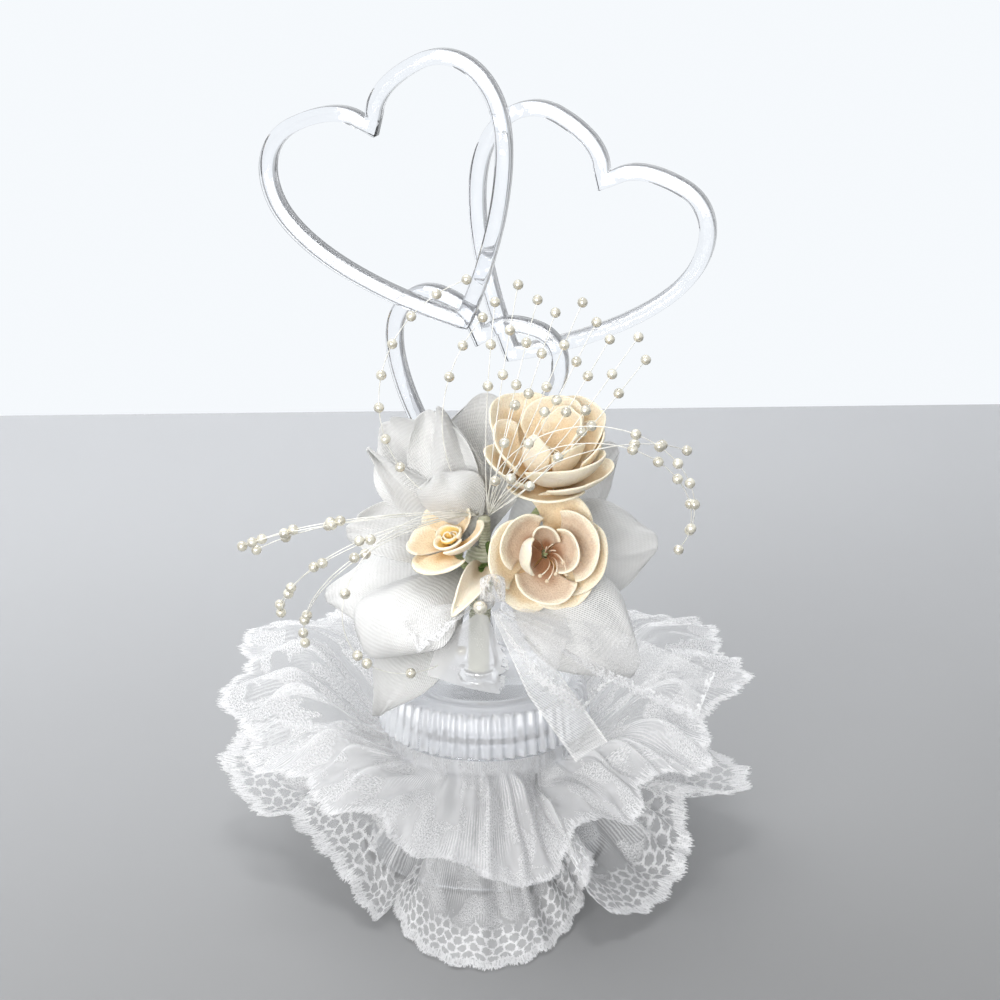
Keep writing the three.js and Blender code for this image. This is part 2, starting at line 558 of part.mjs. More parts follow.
// Gathered lace tier: a band on the neck, then a bell whose folds part into low lobes with raised notches
function laceGeometry({ head, hemRise, frontDrop, frontShort, tuck, puff, sideRise, fall }) {
  const neck = FOOT_NECK_RADIUS + SEAT_GAP + LACE / 2;
  const root = head - LACE_BAND;
  return sheet(LACE_FOLDS * FOLD_COLUMNS, LACE_ROWS, (u, v) => {
    const angle = 2 * Math.PI * u;
    const fromFront = angle - radians(FRONT_ANGLE);
    const facing = Math.max(0, Math.cos(fromFront));
    const towardsFront = facing ** 1.5;
    const lobe = fromFront - (LACE_FRONT_WIDER / 2) * Math.sin(2 * fromFront);
    const notch = (0.5 - Math.cos(LACE_FOLDS * lobe) / 2) ** 1.5;
    const tucked = tuck * Math.sin(2 * lobe) ** 2 * Math.sqrt(facing);
    const reach = LACE_REACH - LACE_SCALLOP * notch - frontShort * towardsFront - tucked;
    const skirt = Math.max(0, (v * LACE_ROWS - 1) / (LACE_ROWS - 1));
    const radius = lerp(neck, reach, skirt ** LACE_BELL);
    const out = (radius - neck) / (LACE_REACH - neck);
    const hem = root + hemRise - frontDrop * towardsFront + (sideRise * (1 - Math.cos(fromFront))) / 2;
    const fallen = Math.sin((Math.PI / 2) * skirt) ** fall;
    const level = v * LACE_ROWS < 1 ? lerp(head, root, v * LACE_ROWS) : lerp(root, hem, fallen);
    const swell = puff * Math.sin(Math.PI * skirt) ** 2 * (1 - towardsFront);
    const sways = LACE_SWAYS.map(({ height, waves, start }) => height * Math.sin(waves * angle + start));
    const sway = sways.reduce((sum, height) => sum + height, 0);
    const lift = (LACE_FOLD_HEIGHT * notch + sway * (1 - facing)) * out;
    return new THREE.Vector3(radius, 0, level + swell + lift).applyAxisAngle(UP, angle);
  }, LACE, true);
}

// Base and hearts
add('base_foot', footGeometry(), CLEAR);
add('base_cap', capGeometry().translate(0, 0, CAP_BOTTOM), CLEAR);
add('heart_stand', standGeometry(), CLEAR);
const heartStep = HEART_DEPTH + SEAT_GAP;
const fromStand = ([x, z]) => [standTip[0] + x, standTip[1] + z];
add('heart_left', heartGeometry(LEFT_HEART, fromStand(LEFT_HEART.tip), STAND_PLANE - heartStep), CLEAR);
add('heart_right', heartGeometry(RIGHT_HEART, fromStand(RIGHT_HEART.tip), STAND_PLANE + heartStep), CLEAR);

// Wrapped stems from the cap to the hub, bedded in glue
const hubCentre = bouquet.position;
const wrapFoot = new THREE.Vector3(...WRAP_FOOT, CAP_TOP + CAP_RING_HEIGHT + SEAT_GAP);
const wrapRise = new THREE.Vector3(...WRAP_FOOT, lerp(CAP_TOP, hubCentre.z, 0.5));
const wrapTop = rootOn(hubCentre, HUB_RADIUS, wrapRise, 0);
const wrapLine = new THREE.QuadraticBezierCurve3(wrapFoot, wrapRise, wrapTop);
add('flower_hub', new THREE.SphereGeometry(HUB_RADIUS, 12, 8), WHITE_WRAP, bouquet);
add('stem_wrap', bar(wrapLine, WRAP_RADIUS, 6, 10), WHITE_WRAP);
const glueHole = WRAP_RADIUS + SEAT_GAP;
const glueSide = [[GLUE_RADIUS, 0], [GLUE_RADIUS * 0.85, GLUE_HEIGHT * 0.6], [glueHole, GLUE_HEIGHT]];
const glue = turned([[glueHole, 0], ...glueSide, [glueHole, 0]], 16);
add('glue_dab', glue.translate(...WRAP_FOOT, CAP_TOP + SEAT_GAP), CLEAR);

// Roses
const fullRose = [OUTER_WHORL, MIDDLE_WHORL, INNER_WHORL];
const smallRose = [OUTER_WHORL, { ...INNER_WHORL, spread: SMALL_INNER_SPREAD }];
addRose('rose_a', fullRose, [CREAM_PAPER, CREAM_PAPER, CREAM_PAPER]);
addRose('rose_b', fullRose, [CREAM_PAPER, BLUSH_PAPER, BLUSH_PAPER]);
addRose('rose_c', smallRose, [CREAM_PAPER, GOLD_PAPER]);

// A blade that grows out of a ball, with its tip measured from the ball's centre
function grown(leaf, centre, radius, thickness) {
  const tip = centre.clone().add(vector(leaf.tip));
  const face = vector(leaf.facing).normalize();
  const middle = centre.clone().lerp(tip, 0.5).addScaledVector(face, 2 * leaf.swell);
  return { ...leaf, tip, root: rootOn(centre, radius, middle, thickness) };
}

// Satin petals, ivory petal and leaves round the hub
for (const [name, petal] of Object.entries(SATIN_PETALS)) {
  const shape = blade(grown(petal, HUB, HUB_RADIUS, SATIN), petalProfile, SATIN_ROUND, SATIN, 4, 6);
  add(`satin_petal_${name}`, shape, WHITE_SATIN, bouquet);
}
const ivory = blade(grown(IVORY_PETAL, HUB, HUB_RADIUS, PAPER), petalProfile, IVORY_ROUND, PAPER, 4, 5);
add('ivory_petal', ivory, CREAM_PAPER, bouquet);
LEAVES.forEach((leaf, i) => {
  const shape = blade(grown(leaf, HUB, HUB_RADIUS, LEAF), petalProfile, LEAF_ROUND, LEAF, 2, 4);
  add(`leaf_${i + 1}`, shape, GREEN_WRAP, bouquet);
});

// Bow
const knot = vector(BOW_KNOT);
add('bow_knot', new THREE.SphereGeometry(BOW_KNOT_RADIUS, 10, 7).translate(...BOW_KNOT), WHITE_LACE, bouquet);
const wireStart = rootOn(HUB, HUB_RADIUS, knot, 0);
const wireEnd = rootOn(knot, BOW_KNOT_RADIUS, HUB, 0);
add('bow_wire', bar(new THREE.LineCurve3(wireStart, wireEnd), BOW_WIRE, 1, 6), WHITE_WRAP, bouquet);
for (const [name, tail] of Object.entries(BOW_TAILS)) {
  const shape = blade(grown(tail, knot, BOW_KNOT_RADIUS, LACE), stripProfile, 0, LACE, 3, 6);
  add(name, shape, WHITE_LACE, bouquet);
}
const pearlSeat = BOW_KNOT_RADIUS + SEAT_GAP + BOW_PEARL_RADIUS;
const bowPearl = new THREE.SphereGeometry(BOW_PEARL_RADIUS, 10, 7);
add('bow_pearl', bowPearl.translate(knot.x, knot.y - pearlSeat, knot.z), PEARL, bouquet);

// Sprays round the end of their binding
const bindingTop = vector(BINDING_TOP);
const bindingFoot = rootOn(HUB, HUB_RADIUS, bindingTop, 0);
const bindingLine = new THREE.LineCurve3(bindingFoot, bindingTop);
add('spray_binding', bar(bindingLine, BINDING_RADIUS, 1, 8), WHITE_WRAP, bouquet);
const crown = Array.from({ length: CROWN.strands }, (_, i) => {
  const lean = lerp(CROWN.leanFrom, CROWN.leanTo, i / (CROWN.strands - 1));
  const length = CROWN.lengths[i % CROWN.lengths.length];
  return { lean: [lean - 6, lean + 6], length, forward: [12 + lean / 8, -9], pearls: CROWN.pearls };
});
const bindingWay = bindingTop.clone().sub(bindingFoot).normalize();
const collarSeat = bindingTop.clone().addScaledVector(bindingWay, SEAT_GAP + 3 * FILAMENT_RADIUS);
const collarStep = new THREE.Vector3(SEAT_GAP + 3 * FILAMENT_RADIUS, 0, 0);
const rightStrands = [...crown, ...FRONT_STRANDS, ...RIGHT_STRANDS];
add('spray_right', sprayGeometry(collarSeat.clone().add(collarStep), rightStrands), PEARL, bouquet);
add('spray_left', sprayGeometry(collarSeat.clone().sub(collarStep), LEFT_STRANDS), PEARL, bouquet);

// Lace
add('lace_upper', laceGeometry(UPPER_TIER), WHITE_LACE);
add('lace_lower', laceGeometry(LOWER_TIER), WHITE_LACE);

export default topper;
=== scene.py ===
"""Dresses the wedding cake topper: clear hearts and base, roses, petals, pearl sprays, bow and lace."""
import math

import bmesh
import bpy
from mathutils import Matrix, Vector, noise
from mathutils.geometry import interpolate_bezier


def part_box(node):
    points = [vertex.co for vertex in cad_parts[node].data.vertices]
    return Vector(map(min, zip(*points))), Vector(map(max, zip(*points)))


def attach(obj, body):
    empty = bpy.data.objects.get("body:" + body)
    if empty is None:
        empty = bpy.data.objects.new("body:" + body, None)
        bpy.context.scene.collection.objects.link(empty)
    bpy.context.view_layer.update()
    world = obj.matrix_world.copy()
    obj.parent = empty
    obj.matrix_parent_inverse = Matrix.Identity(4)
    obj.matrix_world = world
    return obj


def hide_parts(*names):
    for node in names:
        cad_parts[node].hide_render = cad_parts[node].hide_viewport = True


bl_info = {
    "name": "Cake Topper Dressing",
    "version": (1, 0, 0),
    "blender": (4, 5, 0),
    "location": "3D View > Sidebar > Topper",
    "description": "Dresses the frame of a wedding cake topper with its finished pieces",
    "category": "Object",
}

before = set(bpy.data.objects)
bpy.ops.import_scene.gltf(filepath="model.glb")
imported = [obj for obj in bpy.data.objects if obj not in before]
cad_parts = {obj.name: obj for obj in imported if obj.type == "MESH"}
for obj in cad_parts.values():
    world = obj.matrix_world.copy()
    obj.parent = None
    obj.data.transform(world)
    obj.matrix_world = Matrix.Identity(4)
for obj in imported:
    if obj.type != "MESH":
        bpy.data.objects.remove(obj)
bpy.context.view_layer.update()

# Places and shapes below are in millimetres, and meshes in metres
MM = 0.001
TURN = 2 * math.pi
UP = Vector((0, 0, 1))
RIGHT = Vector((1, 0, 0))


def middle_of(node):
    """Middle of a CAD node's box, in millimetres"""
    low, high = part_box(node)
    return (low + high) / (2 * MM)


def low_of(node):
    """Lowest corner of a CAD node's box, in millimetres"""
    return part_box(node)[0] / MM


def high_of(node):
    """Highest corner of a CAD node's box, in millimetres"""
    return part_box(node)[1] / MM


def ball_radius(node):
    """Radius of a CAD node that is a ball, in millimetres"""
    return (high_of(node).z - low_of(node).z) / 2


HUB = middle_of("flower_hub")
HUB_RADIUS = ball_radius("flower_hub")
KNOT = middle_of("bow_knot")
KNOT_RADIUS = ball_radius("bow_knot")
SEAT_GAP = 0.3
VIEW_ANGLE = math.radians(17)
VIEW_RIGHT = Vector((math.cos(VIEW_ANGLE), math.sin(VIEW_ANGLE), 0))
VIEW_FRONT = Vector((math.sin(VIEW_ANGLE), -math.cos(VIEW_ANGLE), 0))

# Hearts stand in planes of constant y; a tip is its x and z
HEART_BAR = 4.0
HEARTS = {
    "heart_left": {"height": 69.8, "width": 71.4, "notch": 8.8, "lean": -26.6, "tip": (-5.2, 146.3)},
    "heart_right": {"height": 67.0, "width": 68.0, "notch": 8.2, "lean": 27.5, "tip": (3.0, 136.0)},
    "heart_stand": {"height": 49.5, "width": 51.0, "notch": 6.4, "lean": 16.5, "tip": (-14.7, 104.7)},
}
# Handles and ends of a half heart's three curves, as shares of its half width and height
HEART_CURVE = ((0.08, 0.965), (0.3, 1), (0.55, 1), (0.82, 1), (1, 0.89), (1, 0.74), (1, 0.51), (0.49, 0.2))
HEART_SHARP_ANGLE = math.radians(35)
STEM_FOOT = -4.0
STEM_FOOT_WIDTH = 11.0
STEM_TAB = 2.1
STEM_STEPS = 12
# Way the hearts' cut walls face where their painted shade, standing in for dark reflections, is strongest
WALL_SHADE_FACING = Vector((0.6, 0, 0.8))

# Roses: base from the hub, the way each one faces, its seed, and its rolled bud's width and height
ROSES = {
    "rose_a": {"base": (16, 4, 22.6), "facing": (0.1, -0.25, 0.96), "seed": 15, "bud": (2.6, 2.6)},
    "rose_b": {"base": (18.6, -7, 6.0), "facing": (0.33, -0.9, 0.33), "seed": 12.6},
    "rose_c": {"base": (-4.4, -14, 8.2), "facing": (-0.25, -0.4, 0.88), "seed": 8.8, "bud": (2.2, 1.0)},
}
# Each petal: its turn from the viewer's right, reach, rise, half width, roll of its lip and lean inwards
ROSE_PETALS = {
    "rose_a_outer": ((262, 15.6, 4.6, 1.0, 3, 0), (318, 17.0, 8.6, 1.05, 3, 0), (50, 15.8, 18.6, 1.05, 4, 0),
                     (124, 16.0, 19.0, 1.05, 5, 0), (206, 16.2, 11.0, 0.9, 5, 0)),
    "rose_a_middle": ((300, 15.0, 12.0, 1.25, 2, 0), (182, 13.6, 14.5, 0.9, 4, 0),
                      (78, 11.8, 18.6, 1.15, 3, 0), (4, 14.0, 14.0, 0.95, 2, 0)),
    "rose_a_inner": ((222, 10.0, 14.5, 1.0, 0, 0.42), (42, 8.8, 17.0, 1.3, 1, 0),
                     (322, 9.0, 12.5, 1.0, 1, 0)),
    "rose_b_outer": ((176, 14.4, 8.0, 0.95, 5, 0), (66, 15.4, 4.5, 0.8, 6, 0), (350, 14.8, 5.5, 1.05, 5, 0),
                     (226, 15.0, 4.5, 0.9, 6, 0), (296, 14.2, 4.0, 0.9, 6, 0)),
    "rose_b_middle": ((150, 11.8, 9.0, 1.1, 3, 0), (14, 13.0, 8.0, 1.2, 3, 0), (264, 12.0, 7.0, 1.05, 3, 0)),
    "rose_b_inner": ((186, 9.6, 12.5, 1.05, 0, 0.5), (2, 7.6, 9.0, 1.4, 1, 0), (88, 6.6, 8.0, 0.9, 1, 0)),
    "rose_c_outer": ((80, 9.6, 8.5, 1.2, 3, 0), (322, 10.0, 5.8, 1.2, 2, 0), (240, 11.8, 2.6, 1.1, 4, 0),
                     (165, 10.4, 5.8, 0.9, 4, 0)),
    "rose_c_inner": ((60, 4.4, 3.4, 1.9, 1, 0), (240, 4.4, 3.0, 1.9, 1, 0)),
}
WHORL_STEP = 0.9
ROSE_HOLE = 1.1
CALYX = 4.0
# Each stamen: its turn, how far it goes out and up, and whether it has a tip
STAMENS = (
    (250, 6.0, 5.5, True), (268, 7.0, 5.0, True), (290, 5.5, 6.5, True), (312, 7.0, 6.0, True),
    (20, 2.2, 6.0, False), (100, 2.0, 6.5, False), (330, 4.4, 6.5, True), (60, 3.0, 5.5, False),
)
STAMEN_RADIUS = 0.17
STAMEN_TIP = 0.55


def blade(tip, facing, width, swell, cup, **more):
    """A petal or strip: its tip from where it grows, its face, its width, and how it swells and cups"""
    return {"tip": Vector(tip), "facing": Vector(facing).normalized(), "width": width, "swell": swell,
            "cup": cup, "point": 0.0, "crush": 1.0, "look": "satin", **more}


# Satin petals and frills: tips from the hub
SATIN_ROUND = 0.1
SATIN_PETALS = {
    "satin_petal_front_left": blade((-19.6, -34.5, -17.0), (-0.35, -0.75, 0.55), 35, 9, -6),
    "satin_petal_low_left": blade((-20.6, -30.0, -35.5), (-0.3, -0.9, -0.2), 25, 8, -3, point=0.7),
    "satin_petal_left": blade((-43.2, -6.5, -12.7), (-0.35, -0.4, 0.8), 32, 3, -3),
    "satin_petal_side": blade((-34.2, -13.5, 9.3), (-0.1, -0.6, 0.8), 20, 2.5, 2),
    "satin_petal_up_left": blade((-29.2, 6.5, 34.3), (-0.2, -0.75, 0.6), 25, 2, 2, crush=2.2),
    "satin_petal_top": blade((-15.2, -3.5, 41.3), (-0.1, -0.85, 0.5), 19, 2.5, 2, crush=2.0),
    "satin_petal_behind": blade((-4.2, 13.5, 42.3), (0, -1, 0), 28, -2, 1),
    "satin_petal_right": blade((30.0, 23.5, 28.0), (0.2, -0.9, 0.2), 22, -3, 2, point=0.1, crush=2.0,
                               look="sheer_satin"),
    "satin_petal_far_right": blade((43.0, 18.5, 3.3), (0.2, -0.8, 0.5), 27, -1, 3, crush=2.4,
                                   look="sheer_satin"),
    "satin_petal_low_right": blade((43.8, -7.5, -24.7), (0.2, -0.7, 0.7), 30, 9, -4),
    "satin_petal_back": blade((23.8, 18.5, -22.7), (0.4, 0.8, 0.4), 24, 3, 3),
    "satin_frill_flap": blade((-29.6, -9.1, 31.5), (-0.1, -0.9, 0.3), 16, 3, -2, point=0.8, crush=1.6),
    "satin_frill_crown": blade((-10.6, -6.4, 43.5), (0.3, -0.95, 0.1), 17, 3, -3, point=0.5, crush=2.0),
    "satin_frill_bulge": blade((-7.9, -15.0, 28.3), (-0.1, -0.8, 0.6), 20, 5, -5, point=0.2),
}
IVORY_PETALS = {"ivory_petal": blade((1.0, -32.5, -4.2), (0.45, -0.6, 0.65), 7, 3.5, 5)}
LEAVES = {
    "leaf_1": blade((5.3, -15.5, 1.3), (0, -0.5, 0.9), 4.5, 0.5, 0.5),
    "leaf_2": blade((6.3, -11.5, 9.3), (0, -0.9, 0.4), 4, 0.5, 0.5),
}
TENDRILS = 14
TENDRIL_ROOT = HUB + Vector((2.0, -5.6, 0.0))

# Lace bow: tips from the knot
BOW_TAILS = {
    "bow_tail_right": blade((28.3, 5, -24.5), (0.3, -0.95, 0.1), 14, 5, 1, look="sheer_lace"),
    "bow_tail_far_right": blade((54.0, 18, -28.0), (0.3, -0.8, 0.5), 14, -1, 2, look="sheer_lace"),
    "bow_tail_front": blade((-3.9, -7.2, -21.5), (0.1, -0.95, 0.1), 20, 1, -2, look="veil_lace"),
    "bow_loop_left": blade((-15.7, -13, -7.5), (-0.2, -0.9, 0.4), 10, 3, 1, look="sheer_lace"),
}
RIBBON_TAIL = blade((26.6, 7, -41.9), (0.3, -0.95, 0.1), 10, 1, 0.6)
KNOT_LOOP = (10.5, 19.0)
KNOT_LOOP_ASIDE = 1.6

# Lace tiers: each hem's turns, as angle from the front, radius and height above the table
LACE_BAND = 3.7
LACE_BAND_SHARE = 0.08
LACE_START = 27.1
LACE_FRONT = math.radians(-73)
LACE_SLACK = 1.1
LACE_FLOOR_GAP = 0.5
TIERS = {
    "lace_upper": {
        "head": 35.8, "fall": 1.3, "puff": 9.0, "cut": (48.0, 400.0), "look": "close_lace",
        "hem": (
            (-180, 70, 40), (-160, 60, 46), (-145, 73, 44), (-128, 62, 52), (-113, 77, 50), (-101, 68, 46),
            (-93, 76, 42), (-82, 66, 36), (-72, 68, 30), (-60, 56, 32), (-49, 58, 25), (-38, 49, 27),
            (-25, 51, 18), (-9, 50, 18), (4, 53, 13), (20, 54, 13), (30, 48, 24), (38, 52, 26), (46, 58, 23),
            (54, 53, 33), (66, 67, 33), (80, 62, 42), (94, 76, 46), (106, 70, 50), (118, 76, 50),
            (132, 62, 52), (148, 73, 44), (164, 60, 46),
        ),
    },
    "lace_lower": {
        "head": 30.6, "fall": 0.9, "puff": 0.0, "cut": (58.0, 415.0), "look": "white_lace",
        "hem": (
            (-180, 63, 6), (-158, 75, 6), (-140, 62, 11), (-122, 75, 19), (-108, 66, 27), (-99, 77, 22),
            (-91, 71, 15), (-84, 63, 9), (-78, 55, 14), (-70, 58, 17), (-56, 56, 14), (-42, 56, 9),
            (-27, 62, 2), (-31, 49, 4), (-21, 60, 1), (-10, 71, 0.6), (0, 75, 0.6), (10, 71, 0.6),
            (21, 60, 1), (33, 50, 5), (40, 45, 13), (28, 60, 17), (22, 66, 16), (27, 67, 9),
            (36, 68, 5), (45, 66, 4), (55, 64, 6), (65, 63, 12), (70, 58, 18), (78, 60, 22),
            (84, 72, 16), (92, 76, 18), (103, 70, 19), (112, 62, 22), (128, 74, 12), (146, 62, 11),
            (164, 75, 6),
        ),
    },
}
HEM_STEPS = 720
HEM_CURVE_STEPS = 20
HEM_ROUND = 0.011
GATHER_SPAN = HEM_STEPS // 24
SCALLOP_WIDTH = 10.0
SCALLOP_DEPTH = 1.8
# Pleats: waves round the tier, where they start, and their depth
PLEATS = ((23, 0.0, 1.0), (37, 1.3, 0.7), (61, 4.1, 0.45))
PLEAT_DEPTH = 3.0

# Lace threads in millimetres; a pair is the value at the front and at the sides; closer thread at the front
# than at the sides is painted light, making the lace whiter towards the viewer
LACE_KEYS = ("Pitch", "Border", "Veil", "Sprigs", "Ground", "Stitch", "Net")
LACES = {
    "white_lace": (3.7, 6.0, (0.42, 0.22), 1.0, (1.0, 0.75), (2.1, 0.25, 0), 17.0),
    "close_lace": (3.2, 4.5, (0.5, 0.2), 1.0, (1.1, 0.7), (2.1, 0.25, 0), 1.0),
    "sheer_lace": (0.9, 3.6, 0.08, 0.6, 0.3, (0.9, 0.8, 0), 4.0),
    "veil_lace": (0.9, 0.8, 0.5, 0.6, 0.5, (0.9, 0.8, 0), 4.0),
}
# Thread colours: the paler one, where the threads are sparse, is painted shade
LACE_BRIGHT = (0.92, 0.92, 0.92, 1.0)
LACE_SPARSE_SHADE = (0.85, 0.85, 0.85, 1.0)
FAR_FROM_EDGE = 100.0

# Pearl sprays: each strand's lean at its root and end, length, how far it comes forward, and its pearls
SPRAY_TOP = HUB + Vector((2.1, -7.7, 14.3))
SPRAY_COLLAR = 1.14
CROWN_STRANDS = 9
CROWN_LEANS = (2, 46)
CROWN_BEND = 6
CROWN_LENGTHS = (55, 60, 57)
CROWN_PEARLS = (0.66, 0.83, 1)
RIGHT_STRANDS = (
    ((2, 22), 33, (13, 8), (0.45, 0.75, 1)),
    ((14, 36), 34, (14, 9), (0.5, 0.78, 1)),
    ((30, 56), 35, (14, 9), (0.5, 0.78, 1)),
    ((-8, 208), 100, (20, 2), (0.56, 0.63, 0.7, 0.77, 0.84, 0.92, 1)),
    ((0, 186), 85, (20, 4), (0.6, 0.69, 0.78, 0.89, 1)),
    ((16, 122), 63, (18, 6), (0.76, 0.88, 1)),
)
LEFT_STRANDS = (
    ((-80, 74), 84, (4, -8), (0.3, 0.4, 0.5, 0.6, 0.7, 0.8, 0.9, 1)),
    ((-42, 44), 56, (4, -8), (0.7, 0.85, 1)),
    ((-62, -124), 62, (15, 14), (0.58, 0.62, 0.78, 0.93)),
    ((-65, -121), 63, (15, 15), (0.6, 0.8, 0.95, 1)),
    ((-63, -128), 62, (14, 13), (0.63, 0.82, 0.97)),
    ((-64, -163), 65, (23, 8), (0.43, 0.64, 0.84, 0.97)),
    ((-61, -168), 66, (22, 9), (0.47, 0.68, 0.87, 1)),
    ((-70, -180), 66, (20, 8), (0.45, 0.83, 0.94)),
    ((-66, -184), 67, (21, 9), (0.49, 0.86, 1)),
    ((-46, -297), 88, (28, 14), (0.47, 0.67, 0.71, 0.85, 1)),
)

# Stage, in metres and watts: each lamp's place, size and power
LAMPS = {
    "window_lamp": ((-0.62, 0.5, 0.9), 0.9, 9.0),
    "room_lamp": ((-0.1, -1.36, 0.43), 0.84, 19.5),
    "top_lamp": ((-0.1, 0.1, 1.4), 0.3, 5.0),
}
LAMP_AIM = Vector((0, 0, 0.09))
SKY_LOW = (0.12, 0.125, 0.135, 1)
SKY_HIGH = (0.95, 0.96, 1.0, 1)
SKY_SEEN = (0.9, 0.91, 0.93, 1)
SKY_STRENGTH = 1.05
# Floor colours far from and near the viewer; the darker near colour is painted shade
FLOOR_FAR = (0.354, 0.359, 0.367, 1.0)
FLOOR_NEAR_SHADE = (0.164, 0.164, 0.162, 1.0)
WALL_COLOUR = (0.92, 0.95, 0.98, 1.0)
WALL_DISTANCE = 0.447
WALL_TURN = math.radians(2)
CAMERA_PLACE = (0.16446, -0.53792, 0.283)
CAMERA_TURN = (math.radians(72), 0, math.radians(16.557))
CAMERA_LENS = 79.2
CAMERA_SENSOR = 36


# Node building
def feed(node, inputs):
    """Links the inputs that are values of the node's tree, and sets the others"""
    for key, value in inputs.items():
        if isinstance(value, Value):
            node.id_data.links.new(value.socket, node.inputs[key])
        else:
            node.inputs[key].default_value = value


def add_node(tree, kind, inputs=None, **settings):
    """Adds a shader node with its settings and inputs"""
    made = tree.nodes.new("ShaderNode" + kind)
    for name, value in settings.items():
        setattr(made, name, value)
    feed(made, inputs or {})
    return made


class Value:
    """Output of a shader node, with arithmetic that adds the nodes it needs"""

    def __init__(self, socket):
        self.socket = socket
        self.tree = socket.id_data

    def maths(self, operation, *others):
        """Math node on this value and others"""
        made = add_node(self.tree, "Math", dict(enumerate((self, *others))), operation=operation)
        return Value(made.outputs[0])

    def __add__(self, other):
        return self.maths("ADD", other)

    def __sub__(self, other):
        return self.maths("SUBTRACT", other)

    def __mul__(self, other):
        return self.maths("MULTIPLY", other)

    def __truediv__(self, other):
        return self.maths("DIVIDE", other)

    def __rtruediv__(self, other):
        return Value(add_node(self.tree, "Math", {0: other, 1: self}, operation="DIVIDE").outputs[0])

    def vector(self, operation, *others, output="Vector"):
        """Vector Math node on this vector and others"""
        made = add_node(self.tree, "VectorMath", dict(enumerate((self, *others))), operation=operation)
        return Value(made.outputs[output])

    def scaled(self, factor):
        """This vector times a number"""
        made = add_node(self.tree, "VectorMath", {0: self, "Scale": factor}, operation="SCALE")
        return Value(made.outputs["Vector"])

    def parts(self):
        """The three numbers of this vector"""
        return [Value(socket) for socket in add_node(self.tree, "SeparateXYZ", {0: self}).outputs]

    def noise(self, scale, detail, output=0, **more):
        """Noise over this place"""
        made = add_node(self.tree, "TexNoise", {"Vector": self, "Scale": scale, "Detail": detail, **more})
        return Value(made.outputs[output])

    def ramp(self, low, high, start=0.0, end=1.0):
        """Smooth step of this value from low to high, out as start to end"""
        inputs = {"Value": self, "From Min": low, "From Max": high, "To Min": start, "To Max": end}
        made = add_node(self.tree, "MapRange", inputs, interpolation_type="SMOOTHSTEP")
        return Value(made.outputs["Result"])

    def blend(self, first, second):
        """Mix of two colours by this value"""
        made = add_node(self.tree, "Mix", {0: self, 6: first, 7: second}, data_type="RGBA")
        return Value(made.outputs[2])

    def mix(self, first, second):
        """Mix of two numbers by this value"""
        made = add_node(self.tree, "Mix", {0: self, 2: first, 3: second}, data_type="FLOAT")
        return Value(made.outputs[0])


def attribute(tree, name):
    """A piece's own attribute"""
    return Value(add_node(tree, "Attribute", attribute_name=name).outputs["Fac"])


def cloth_map(tree):
    """Place on the flat cloth in millimetres"""
    return Value(add_node(tree, "UVMap", uv_map="UVMap").outputs["UV"])


def object_place(tree):
    """Object coordinates in millimetres"""
    return Value(add_node(tree, "TexCoord").outputs["Object"]).scaled(1 / MM)


def seen_ray(tree):
    """1 for rays of the eye, straight or in gloss and glass"""
    path = add_node(tree, "LightPath").outputs
    seen = Value(path["Is Camera Ray"]).maths("MAXIMUM", Value(path["Is Glossy Ray"]))
    return seen.maths("MAXIMUM", Value(path["Is Transmission Ray"]))


def mix_shaders(factor, first, second):
    """Mix of two shader nodes"""
    inputs = {0: factor, 1: Value(first.outputs[0]), 2: Value(second.outputs[0])}
    return add_node(first.id_data, "MixShader", inputs)


def show(shader):
    """Makes a shader node what its material shows"""
    feed(shader.id_data.nodes["Material Output"], {"Surface": Value(shader.outputs[0])})


def group_of(name, inputs, outputs):
    """New shader node group with named sockets; returns the group, its input values and its output node"""
    group = bpy.data.node_groups.new(name, "ShaderNodeTree")
    for way, sockets in (("INPUT", inputs), ("OUTPUT", outputs)):
        for label, kind in sockets.items():
            group.interface.new_socket(name=label, in_out=way, socket_type="NodeSocket" + kind)
    source = group.nodes.new("NodeGroupInput")
    given = {label: Value(source.outputs[label]) for label in inputs}
    return group, given, group.nodes.new("NodeGroupOutput")


def place_group(tree, group, inputs):
    """Places a group in a tree with its own values, and gives its outputs"""
    made = tree.nodes.new("ShaderNodeGroup")
    made.node_tree = group
    feed(made, inputs)
    return {socket.name: Value(socket) for socket in made.outputs}


def weave_group():
    """Fine satin weave: slanting floats with uneven thread; its Shade is darker in the grooves between the
    floats, painted shade, and uneven at random
    """
    tree, given, out = group_of("Satin Weave", {"Cloth": "Vector", "Pitch": "Float"},
                                {"Height": "Float", "Shade": "Float"})
    cloth = given["Cloth"].scaled(1.0 / given["Pitch"])
    across, along, _ = cloth.parts()
    warp = ((across + along * 0.35) * TURN).maths("SINE")
    weft = (along * math.pi).maths("SINE")
    uneven = cloth.noise(0.35, 2.0)
    threads = warp + weft * 0.5
    feed(out, {"Height": threads + uneven, "Shade": (threads + uneven * 2.0).ramp(-0.8, 2.4)})
    return tree


def grain_group():
    """Fibre and mottling of paper"""
    tree, given, out = group_of("Paper Fibre", {"Place": "Vector", "Fineness": "Float"},
                                {"Height": "Float", "Mottle": "Float"})
    place = given["Place"]
    fibre = place.noise(given["Fineness"], 6.0)
    feed(out, {"Height": fibre, "Mottle": place.noise(0.12, 3.0).ramp(0.3, 0.7)})
    return tree


def honeycomb(flat, pitch):
    """Distance from the middles of two crossed rows of cells, in pitches; threads lie furthest from them"""
    root_three = 1.732
    step = add_node(flat.tree, "CombineXYZ", {0: pitch, 1: pitch * root_three, 2: 1.0})
    half = Value(step.outputs[0]).scaled(0.5)
    holes = []
    for shifted in (flat, flat.vector("ADD", half)):
        cell = shifted.vector("WRAP", half, half.scaled(-1.0))
        holes.append(cell.vector("MULTIPLY", (1, 1, 0)).vector("LENGTH", output="Value"))
    return holes[0].maths("MINIMUM", holes[1]) / pitch


